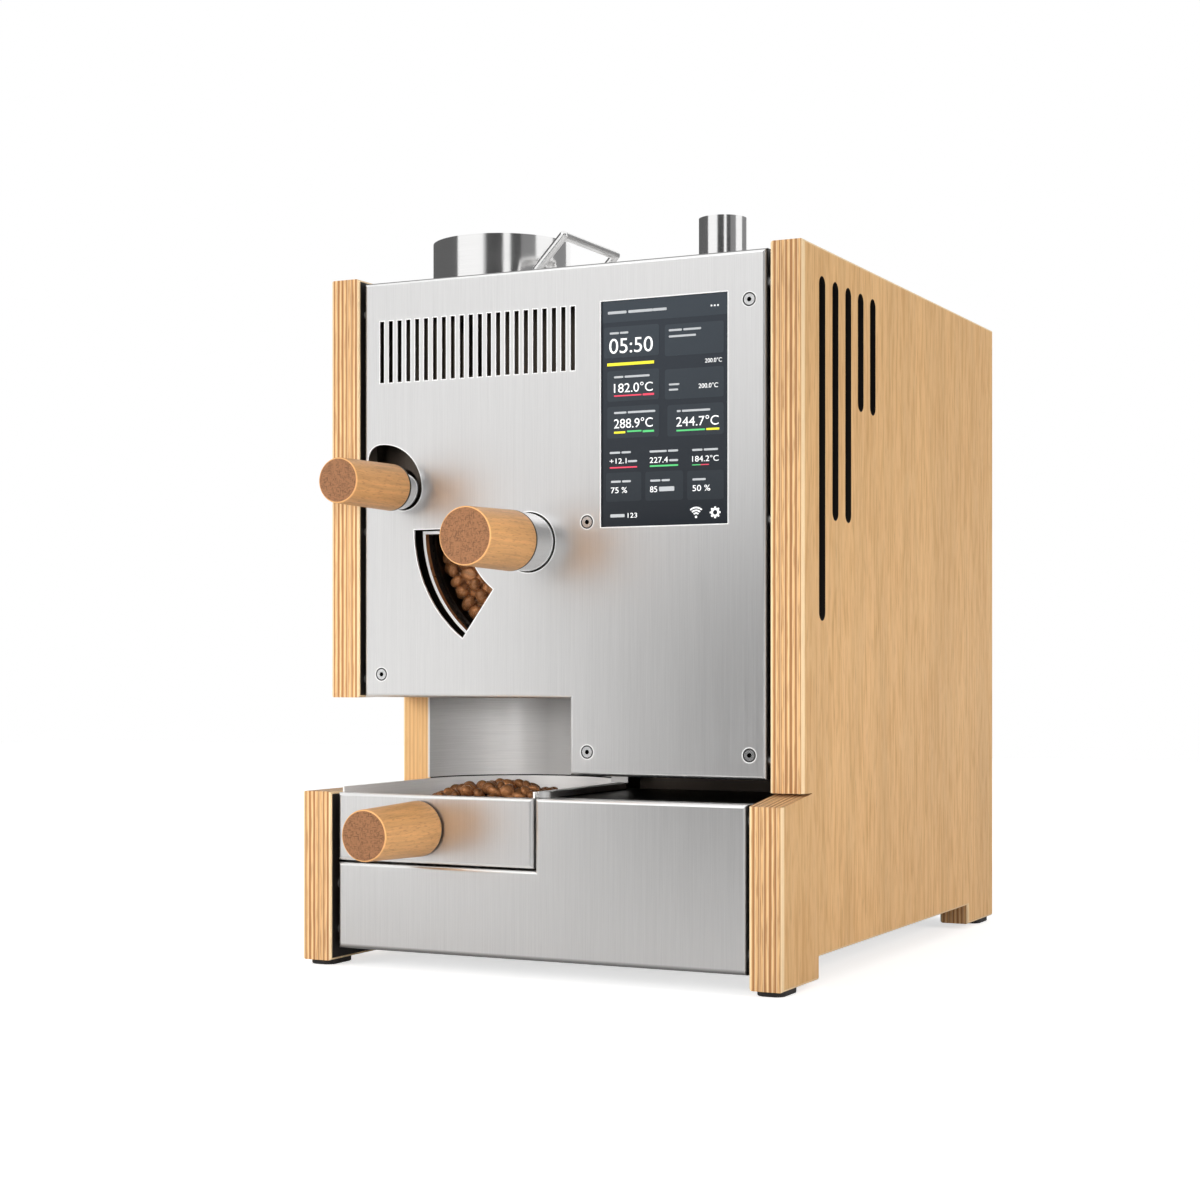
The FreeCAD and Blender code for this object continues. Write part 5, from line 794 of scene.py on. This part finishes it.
# --------------------------------------------------------------------------- the roaster's finishes


class ROASTER_OT_wood(bpy.types.Operator):
    """Dresses the side panels as veneered plywood and the three knobs as turned beech"""
    bl_idname = "roaster.wood"
    bl_label = "Wood"

    def execute(self, context):
        colours = context.scene.roaster_wood
        dress(veneer_finish(colours), "side_panel_left", "side_panel_right")
        dress(knob_finish(colours), "charge_knob", "sampler_knob", "drawer_knob")
        return {"FINISHED"}


class ROASTER_OT_steel(bpy.types.Operator):
    """Dresses the folded front, the drawer, the bay and the top as brushed steel"""
    bl_idname = "roaster.steel"
    bl_label = "Brushed steel"

    def execute(self, context):
        colours = context.scene.roaster_steel
        fronts = (("brushed_upright", "drawer_front", {}),
                  ("brushed_upper", "front_panel", {"brow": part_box("front_panel")[1].z}),
                  ("brushed_lower", "lower_front_panel",
                   {"hem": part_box("lower_front_panel")[0].z}))
        for name, node, shaded_edge in fronts:
            dress(brushed_finish(name, colours.brushed, colours.brushed_roughness, painted_fold_highlight=True,
                                 **shaded_edge), node)
        dress(bay_finish(colours.liner), "bay_wall")
        satin = brushed_finish("satin_liner", colours.liner, 0.36, (26.0, 26.0, 3400.0),
                               (2.0, 2.0, 420.0), metallic=0.15)
        dress(satin, "cooling_tray")
        lying = brushed_finish("brushed_lying", colours.brushed, colours.brushed_roughness,
                               grain=(3400.0, 26.0, 3400.0), bands=(420.0, 2.0, 420.0))
        dress(lying, "top_cover", "top_lid", "tray_sieve")
        dress(deck_finish(colours), "deck_plate")
        plain = sheet_finish("plain_sheet", colours.sheet)
        dress(plain, "back_panel", "base_pan", "chaff_box", "chaff_basket", "drawer_runners",
              "panel_spacers", "power_supply", "exhaust_fan_housing")
        # Painted shade in part: the bulkhead seen through the lever's slot is made this dark too.
        heat_tint_and_shade = sheet_finish("heat_tint_and_shade_sheet", colours.heat_tint_and_shade, 0.38)
        dress(heat_tint_and_shade, "bulkhead", "drum_housing", "roasting_drum", "charge_chute", "charge_gate",
              "discharge_chute", "discharge_flap", "hot_air_duct")
        return {"FINISHED"}


class ROASTER_OT_fittings(bpy.types.Operator):
    """Dresses the hopper, stub, bail, sleeves, window and screws"""
    bl_idname = "roaster.fittings"
    bl_label = "Fittings"

    def execute(self, context):
        colours = context.scene.roaster_steel
        dress(polished_finish("polished_tube", colours.polished, 0.12), "bean_hopper",
              "exhaust_stub")
        dress(polished_finish("polished_rod", colours.polished, 0.16, (900.0, 40.0, 900.0)),
              "bail_handle", "sampler_rod", "sampler_sleeve")
        dress(polished_finish("chromed", (0.86, 0.86, 0.87, 1.0), 0.06), "charge_lever")
        dress(frame_finish(colours.bronze), "window_frame")
        dress(socket_finish(), "front_screws")
        dress(polished_finish("satin_steel", (0.62, 0.62, 0.62, 1.0), 0.24, (900, 900, 900)),
              "drum_bearings", "drum_pulley", "motor_pulley")
        dress(polished_finish("turned_bronze", colours.bronze, 0.22, (40.0, 2600.0, 40.0)),
              "sampler_bush")
        dress(glass_finish(), "sight_glass")
        return {"FINISHED"}


class ROASTER_OT_inner_parts(bpy.types.Operator):
    """Dresses the rubber, the plastic and the parts behind the panels"""
    bl_idname = "roaster.inner_parts"
    bl_label = "Rubber, plastic and electrics"

    def execute(self, context):
        dress(moulded_finish("rubber", (0.022, 0.021, 0.021, 1.0), 0.72), "rubber_feet",
              "drive_belt")
        dress(moulded_finish("black_plastic", (0.03, 0.03, 0.032, 1.0)), "display_module",
              "cooling_fan_frame", "cooling_impeller", "power_inlet", "power_rocker",
              "discharge_servo")
        dress(moulded_finish("heat_plastic", (0.05, 0.045, 0.04, 1.0), 0.6), "blower_impeller",
              "exhaust_impeller")
        dress(sheet_finish("painted_motor", (0.06, 0.06, 0.065, 1.0), 0.5, metallic=0.0),
              "drum_gearmotor", "fan_motors")
        dress(moulded_finish("circuit_board", (0.02, 0.12, 0.05, 1.0), 0.45), "control_board")
        dress(sheet_finish("heater_mica", (0.42, 0.34, 0.24, 1.0), 0.6, metallic=0.0),
              "heater_element")
        return {"FINISHED"}


# --------------------------------------------------------------------------- cut edges


def face_loops(panel):
    """Edges of the openings in a panel's front face, as closed rows of (x, z) places."""
    points = [panel.matrix_world @ vert.co for vert in panel.data.vertices]
    face_y = min(point.y for point in points)
    follow = {}
    for face in panel.data.polygons:
        corners = [points[index] for index in face.vertices]
        if all(abs(corner.y - face_y) < FLAT_ENOUGH for corner in corners):
            keys = [(round(corner.x, 5), round(corner.z, 5)) for corner in corners]
            for here, there in zip(keys, keys[1:] + keys[:1]):
                if (there, here) in follow:
                    del follow[(there, here)]
                else:
                    follow[(here, there)] = True
    after = {here: there for here, there in follow}
    loops = []
    while after:
        first, there = after.popitem()
        loop = [first]
        while there != first and there in after:
            loop.append(there)
            there = after.pop(there)
        loops.append(loop)
    return face_y, loops


def turned_area(loop):
    return sum(x * there_z - there_x * z
               for (x, z), (there_x, there_z) in zip(loop, loop[1:] + loop[:1])) / 2


def outward(loop):
    """For each place of a loop the way out of the opening, longer at corners to keep its width."""
    ways = []
    for before, here, there in zip(loop[-1:] + loop[:-1], loop, loop[1:] + loop[:1]):
        sides = []
        for start, end in ((before, here), (here, there)):
            run = Vector((end[0] - start[0], end[1] - start[1])).normalized()
            sides.append(Vector((-run.y, run.x)))
        way = (sides[0] + sides[1]).normalized()
        ways.append(way / max(SHARPEST_CORNER, way.dot(sides[0])))
    return ways


class ROASTER_OT_cut_edges(bpy.types.Operator):
    """Adds the deburred edge round each opening of the front panel, coloured near white as a
    painted highlight, and a ring of painted shade in each screw hole
    """
    bl_idname = "roaster.cut_edges"
    bl_label = "Cut edges"

    def execute(self, context):
        face_y, loops = face_loops(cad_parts["front_panel"])
        whole = max(loops, key=lambda loop: abs(turned_area(loop)))
        openings = [loop for loop in loops if loop is not whole]
        if any(turned_area(loop) * turned_area(whole) > 0 for loop in openings):
            raise RuntimeError("the panel's openings could not be told from its outline")
        edges = self.beads("cut_edges", openings, face_y, EDGE_PROFILE)
        edges.shade_smooth()
        # Painted shade: a near-black ring lies over the edge of each screw hole, where the gap
        # round the head is in shade.
        screws = [loop for loop in loops if SCREW_HOLE[0] < abs(turned_area(loop)) < SCREW_HOLE[1]]
        gap_shades = self.beads("screw_gap_shade_rings", screws, face_y, GAP_SHADE_PROFILE)
        dark = self.trim_finish("screw_gap_shade", (0.015, 0.015, 0.015, 1.0), 0.6, 0.0,
                                (0.010, 0.010, 0.010, 1.0), (0.025, 0.024, 0.023, 1.0))
        add_piece("screw_gap_shade_rings", gap_shades, "casing", dark)
        # Partly painted highlight: the rounded deburred edge is a real shape, its near-white,
        # little-metallic colour paints its shine.
        bright = self.trim_finish("deburred_edge_highlight", (0.95, 0.95, 0.945, 1.0), 0.35, 0.25,
                                  (0.90, 0.90, 0.895, 1.0), (1.0, 1.0, 0.995, 1.0))
        add_piece("cut_edges", edges, "casing", bright)
        return {"FINISHED"}

    def trim_finish(self, name, tint, roughness, metallic, dull, bright):
        finish = Finish(name, tint, roughness, metallic=metallic)
        finish.colour(finish.mix(finish.grain((900, 900, 900), detail=1.0), dull, bright))
        return finish.material

    def beads(self, name, loops, face_y, profile):
        """A strip round each loop; the profile holds steps away from the opening and inwards."""
        shape = bmesh.new()
        for loop in loops:
            rows = []
            for (x, z), way in zip(loop, outward(loop)):
                rows.append([shape.verts.new((x + way.x * out, face_y + deep, z + way.y * out))
                             for out, deep in profile])
            for here, there in zip(rows, rows[1:] + rows[:1]):
                for step in range(len(profile) - 1):
                    shape.faces.new((here[step], there[step], there[step + 1], here[step + 1]))
        return outer_mesh(name, shape)


# How far a corner may lie off the panel's face, and the least that a corner's way counts.
FLAT_ENOUGH = 2e-5
SHARPEST_CORNER = 0.4
# The screw holes' least and greatest area, in square metres.
SCREW_HOLE = (0.00004, 0.00008)
# The ring of painted shade in each screw hole, as steps away from the opening and inwards.
GAP_SHADE_PROFILE = [(-0.00005, -0.00004), (-0.00085, -0.00004)]
EDGE_PROFILE = [(0.00060, -0.00001), (0.00034, -0.00010), (0.00004, -0.00008), (-0.00003, 0.0004)]


# --------------------------------------------------------------------------- screen


class ScreenFace:
    """Turns shares of the screen's width and height into places on its face."""

    def __init__(self):
        low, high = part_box("touch_screen")
        self.left, self.right = low.x + SCREEN_LAP, high.x - SCREEN_LAP
        self.bottom, self.top = low.z + SCREEN_LAP, high.z - SCREEN_LAP
        self.face_y = low.y
        self.width, self.height = self.right - self.left, self.top - self.bottom

    def x(self, share):
        return self.left + share * self.width

    def z(self, share):
        return self.top - share * self.height

    def bar(self, left, right, middle, thickness, radius=0.0006):
        half = thickness * self.height / 2
        return rounded_outline(self.x(left), self.z(middle) - half, self.x(right),
                               self.z(middle) + half, radius)

    def card(self, left, top, right, bottom, radius=0.0016):
        return rounded_outline(self.x(left), self.z(bottom), self.x(right), self.z(top), radius)

    def figures(self, name, words, left, right, middle, height):
        """Flat figures, as wide as from left to right and as high as height."""
        text = bpy.data.curves.new(name, "FONT")
        text.body = words
        text.extrude = RAW_EXTRUDE
        holder = add_object(name, text)
        bpy.context.view_layer.update()
        mesh = bpy.data.meshes.new_from_object(holder)
        bpy.data.objects.remove(holder)
        xs = [vert.co.x for vert in mesh.vertices]
        ys = [vert.co.y for vert in mesh.vertices]
        wide = (right - left) * self.width / (max(xs) - min(xs))
        high = height * self.height / (max(ys) - min(ys))
        for vert in mesh.vertices:
            x, y, z = vert.co
            vert.co = (self.x(left) + (x - min(xs)) * wide,
                       self.face_y - CARD_HEIGHT - (FIGURE_HEIGHT if z > 0 else 0.0),
                       self.z(middle + height / 2) + (y - min(ys)) * high)
        return mesh


SCREEN_LAP = 0.002
CARD_HEIGHT = 0.00012
FIGURE_HEIGHT = 0.00010
RAW_EXTRUDE = 0.002
HUB_HEIGHT = 0.00002

# The middle of the gear sign, in shares of the screen's width and height.
GEAR = (0.898, 0.95)
# Cards as left, top, right and bottom, in shares of the screen's width and height.
CARDS = [(0.02, 0.115, 0.46, 0.252), (0.505, 0.122, 0.965, 0.26), (0.045, 0.31, 0.46, 0.445),
         (0.505, 0.318, 0.965, 0.45), (0.045, 0.468, 0.46, 0.608), (0.525, 0.475, 0.965, 0.612),
         (0.035, 0.76, 0.32, 0.888), (0.35, 0.762, 0.65, 0.89), (0.68, 0.766, 0.965, 0.893)]
# Figures as words, left, right, middle and height.
FIGURES = [("05:50", 0.062, 0.41, 0.2, 0.066), ("182.0°C", 0.1, 0.41, 0.386, 0.042),
           ("288.9°C", 0.1, 0.41, 0.543, 0.043), ("244.7°C", 0.595, 0.925, 0.549, 0.043),
           ("200.0°C", 0.77, 0.92, 0.398, 0.021), ("200.0°C", 0.82, 0.95, 0.29, 0.019),
           ("+12.1", 0.065, 0.2, 0.709, 0.023), ("227.4", 0.385, 0.53, 0.712, 0.025),
           ("184.2°C", 0.72, 0.925, 0.714, 0.026), ("75 %", 0.075, 0.205, 0.838, 0.026),
           ("85", 0.388, 0.445, 0.84, 0.026), ("50 %", 0.722, 0.86, 0.842, 0.026),
           ("123", 0.21, 0.285, 0.951, 0.021)]
# Short bars in the place of labels, as left, right, middle and thickness.
LABELS = [(0.05, 0.2, 0.052, 0.012), (0.215, 0.41, 0.052, 0.012), (0.41, 0.52, 0.052, 0.012),
          (0.065, 0.14, 0.143, 0.009), (0.148, 0.215, 0.143, 0.009),
          (0.537, 0.64, 0.148, 0.009), (0.65, 0.79, 0.148, 0.009), (0.537, 0.75, 0.175, 0.009),
          (0.1, 0.175, 0.338, 0.009), (0.185, 0.385, 0.338, 0.009), (0.537, 0.62, 0.385, 0.008),
          (0.537, 0.61, 0.408, 0.008), (0.1, 0.2, 0.496, 0.009), (0.21, 0.43, 0.496, 0.009),
          (0.60, 0.63, 0.503, 0.009), (0.64, 0.86, 0.503, 0.009), (0.065, 0.15, 0.672, 0.009),
          (0.16, 0.235, 0.672, 0.009), (0.385, 0.52, 0.674, 0.009), (0.53, 0.61, 0.674, 0.009),
          (0.72, 0.8, 0.676, 0.009), (0.81, 0.92, 0.676, 0.009), (0.21, 0.285, 0.712, 0.009),
          (0.54, 0.61, 0.716, 0.009), (0.075, 0.155, 0.8, 0.009), (0.165, 0.235, 0.8, 0.009),
          (0.39, 0.47, 0.802, 0.009), (0.48, 0.545, 0.802, 0.009), (0.722, 0.825, 0.804, 0.009),
          (0.46, 0.58, 0.84, 0.02), (0.07, 0.185, 0.951, 0.014)]
# Coloured bars as colour, left, right, middle and thickness.
BARS = [("yellow", 0.045, 0.42, 0.281, 0.013), ("red", 0.1, 0.32, 0.421, 0.006),
        ("red", 0.33, 0.42, 0.421, 0.009), ("yellow", 0.1, 0.19, 0.583, 0.009),
        ("green", 0.205, 0.32, 0.580, 0.007), ("green", 0.33, 0.42, 0.583, 0.009),
        ("green", 0.597, 0.82, 0.588, 0.007), ("yellow", 0.83, 0.93, 0.588, 0.009),
        ("red", 0.065, 0.285, 0.738, 0.006), ("green", 0.387, 0.61, 0.738, 0.007),
        ("green", 0.72, 0.785, 0.741, 0.004), ("red", 0.785, 0.85, 0.741, 0.004)]


def gear_outline(x, z, outer, root, teeth):
    points = []
    for tooth in range(teeth):
        for share, radius in ((-0.27, root), (-0.19, outer), (0.19, outer), (0.27, root)):
            angle = 2 * math.pi * (tooth + share) / teeth
            points.append((x + radius * math.cos(angle), z + radius * math.sin(angle)))
    return points


def circle_outline(x, z, radius, steps=20):
    turns = [2 * math.pi * step / steps for step in range(steps)]
    return [(x + radius * math.cos(a), z + radius * math.sin(a)) for a in turns]


class ROASTER_OT_screen(bpy.types.Operator):
    """Adds the cards, figures, bars and icons that the touch screen shows"""
    bl_idname = "roaster.screen"
    bl_label = "Touch screen"

    def execute(self, context):
        colours = context.scene.roaster_screen
        face = ScreenFace()
        span = (face.bottom, face.top)
        dress(screen_finish("screen_glass", colours.glass, *span), "touch_screen")
        header = [face.card(0.0, 0.0, 1.0, 0.095, 0.0003)]
        cards = header + [face.card(*card) for card in CARDS]
        self.plates("screen_cards", cards, face.face_y, CARD_HEIGHT,
                    screen_finish("screen_card", colours.card, *span))
        front = face.face_y - CARD_HEIGHT
        self.plates("screen_labels", [face.bar(*label) for label in LABELS], front, FIGURE_HEIGHT,
                    lit_finish("screen_label", colours.label, 0.1))
        for shade in ("red", "green", "yellow"):
            bars = [face.bar(*bar[1:], 0.0002) for bar in BARS if bar[0] == shade]
            self.plates(f"screen_bars_{shade}", bars, front, FIGURE_HEIGHT,
                        lit_finish(f"screen_{shade}", getattr(colours, shade), 0.3))
        white = lit_finish("screen_white", colours.figures, 0.25)
        for number, figure in enumerate(FIGURES):
            name = f"screen_figures_{number:02d}"
            self.add(name, face.figures(name, *figure), white)
        self.plates("screen_icons", self.icons(face), front, FIGURE_HEIGHT, white)
        hub = circle_outline(face.x(GEAR[0]), face.z(GEAR[1]), 0.017 * face.width)
        self.plates("screen_icon_hub", [hub], front - FIGURE_HEIGHT, HUB_HEIGHT,
                    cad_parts["touch_screen"].data.materials[0])
        return {"FINISHED"}

    def icons(self, face):
        x, z, unit = face.x(0.75), face.z(0.967), face.width
        waves = [ring_outline(x, z, unit * outer, unit * (outer - 0.011), 48, 132)
                 for outer in (0.032, 0.052, 0.072)]
        dots = [circle_outline(face.x(share), face.z(0.054), unit * 0.007, 12)
                for share in (0.87, 0.895, 0.92)]
        gear = gear_outline(face.x(GEAR[0]), face.z(GEAR[1]), unit * 0.042, unit * 0.032, 8)
        return waves + dots + [circle_outline(x, z, unit * 0.009), gear]

    def plates(self, name, outlines, face_y, height, material):
        self.add(name, plates_mesh(name, outlines, face_y, height), material)

    def add(self, name, mesh, material):
        add_piece(name, mesh, "casing", material)


# --------------------------------------------------------------------------- beans


class ROASTER_OT_beans(bpy.types.Operator):
    """Fills the cooling tray and the drum with separate roasted beans"""
    bl_idname = "roaster.beans"
    bl_label = "Beans"

    def execute(self, context):
        sizes = context.scene.roaster_beans
        finish = bean_finish(sizes)
        dress(finish, "tray_beans", "drum_beans")
        self.fill_tray(sizes, finish)
        self.fill_drum(sizes, finish)
        return {"FINISHED"}

    def fill_tray(self, sizes, finish):
        """A low heap, dropped bean by bean under a dome that leans to the tray's middle."""
        dice = random.Random(11)
        low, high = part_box("tray_beans")
        middle = (low + high) / 2
        reach = (high.x - low.x) / 2
        pitch = sizes.bean_length * 0.72
        edge = reach - sizes.bean_length * 0.55

        def roof(x, y):
            away = math.hypot(x - middle.x, y - middle.y) / reach
            return high.z - HEAP_DROP - HEAP_FALL * away ** 2

        def floor(x, y):
            if math.hypot(x - middle.x, y - middle.y) > edge:
                return None
            return roof(x, y) - HEAP_LAYER

        places = settled(sizes.tray_beans, ((low.x, high.x), (low.y, high.y)), floor, roof, pitch,
                         dice)
        mesh = beans_mesh("tray_bean_heap", places, sizes.bean_length, dice)
        heap = add_piece("tray_bean_heap", mesh, "drawer", finish)
        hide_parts("tray_beans")

    def fill_drum(self, sizes, finish):
        """Beans pressed against the sight glass, with the bed behind them in the drum."""
        dice = random.Random(23)
        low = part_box("drum_beans")[0]
        drum_low, drum_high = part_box("roasting_drum")
        axis = Vector(((drum_low.x + drum_high.x) / 2, 0, (drum_low.z + drum_high.z) / 2))
        half = DRUM_BEAN * 0.42
        places = window_places(axis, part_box("sight_glass")[1].y + half, dice)
        reach = (drum_high.x - drum_low.x) / 2 - DRUM_BEAN * 0.62
        slope = Vector((math.cos(BED_TILT), 0, math.sin(BED_TILT)))
        pitch = DRUM_BEAN * 0.80
        rows = int(2 * reach / pitch) + 2
        for layer in range(DRUM_LAYERS):
            y = low.y + half + layer * pitch * 0.8
            for row in range(-rows, rows):
                for column in range(-rows, rows):
                    out = Vector((pitch * (column + 0.5 * (row % 2) + 0.33 * layer), 0,
                                  pitch * (0.87 * row + 0.4 * layer)))
                    if out.length < reach and out.dot(slope) > BED_DEPTH:
                        shake = Vector((dice.uniform(-0.14, 0.14), dice.uniform(0.0, 0.12),
                                        dice.uniform(-0.14, 0.14))) * pitch
                        places.append(axis + out + Vector((0, y, 0)) + shake)
        mesh = beans_mesh("drum_bean_bed", places, DRUM_BEAN, dice, pressed=True)
        bed = add_piece("drum_bean_bed", mesh, "casing", finish)
        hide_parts("drum_beans")


def window_places(axis, y, dice):
    """Rows of beans that fill the window's hole, right behind the glass."""
    places = []
    near, far = WINDOW_REACH
    start, end = (math.radians(angle) for angle in WINDOW_ANGLES)
    for row in range(WINDOW_ROWS):
        out = far - row * (far - near) / (WINDOW_ROWS - 1)
        count = max(2, round((end - start) * out / (DRUM_BEAN * 0.76)))
        for step in range(count):
            share = (step + 0.5 * (row % 2) + dice.uniform(-0.12, 0.12)) / (count - 0.5)
            angle = start + (end - start) * min(1.0, max(0.0, share))
            reach = out + dice.uniform(-0.0008, 0.0)
            places.append(axis + Vector((reach * math.cos(angle), y + dice.uniform(0, 0.0006),
                                         reach * math.sin(angle))))
    return places


# Beans behind the window: their length, their rows' least and greatest distance from the drum's
# axis, and the angles of the stretch that they fill, in degrees.
DRUM_BEAN = 0.0112
WINDOW_REACH = (0.0572, 0.0788)
WINDOW_ANGLES = (186.5, 227.5)
WINDOW_ROWS = 3
# The tray's heap: how far it falls to its edge, how far its top lies under the box, its depth.
HEAP_FALL = 0.022
HEAP_DROP = 0.0045
HEAP_LAYER = 0.013
# The bed in the drum: where it leans to, how far it starts from the axis, and its layers.
BED_TILT = math.radians(217.0)
BED_DEPTH = 0.038
DRUM_LAYERS = 3


# --------------------------------------------------------------------------- panel and run


class ROASTER_PT_panel(bpy.types.Panel):
    """Lists the sizes, the colours and the steps that dress the roaster"""
    bl_idname = "ROASTER_PT_panel"
    bl_label = "Coffee roaster"
    bl_space_type = "VIEW_3D"
    bl_region_type = "UI"
    bl_category = "Roaster"

    def draw(self, context):
        for group, title in GROUPS.values():
            box = self.layout.box()
            box.label(text=title)
            values = getattr(context.scene, group)
            for name in values.__annotations__:
                box.prop(values, name)
        for step in STEPS:
            self.layout.operator(step.bl_idname)


GROUPS = {
    StudioSizes: ("roaster_studio", "Studio"),
    WoodColours: ("roaster_wood", "Wood"),
    SteelColours: ("roaster_steel", "Steel"),
    ScreenColours: ("roaster_screen", "Touch screen"),
    BeanSizes: ("roaster_beans", "Beans"),
}
STEPS = (ROASTER_OT_studio, ROASTER_OT_wood, ROASTER_OT_steel, ROASTER_OT_fittings,
         ROASTER_OT_inner_parts, ROASTER_OT_cut_edges, ROASTER_OT_screen, ROASTER_OT_beans)


def register():
    for group, (name, _) in GROUPS.items():
        bpy.utils.register_class(group)
        setattr(bpy.types.Scene, name, PointerProperty(type=group))
    for step in STEPS:
        bpy.utils.register_class(step)
    bpy.utils.register_class(ROASTER_PT_panel)


def unregister():
    bpy.utils.unregister_class(ROASTER_PT_panel)
    for step in reversed(STEPS):
        bpy.utils.unregister_class(step)
    for group, (name, _) in GROUPS.items():
        delattr(bpy.types.Scene, name)
        bpy.utils.unregister_class(group)


def main():
    register()
    bpy.ops.roaster.studio()
    bpy.ops.roaster.wood()
    bpy.ops.roaster.steel()
    bpy.ops.roaster.fittings()
    bpy.ops.roaster.inner_parts()
    bpy.ops.roaster.cut_edges()
    bpy.ops.roaster.screen()
    bpy.ops.roaster.beans()


if __name__ == "__main__":
    main()
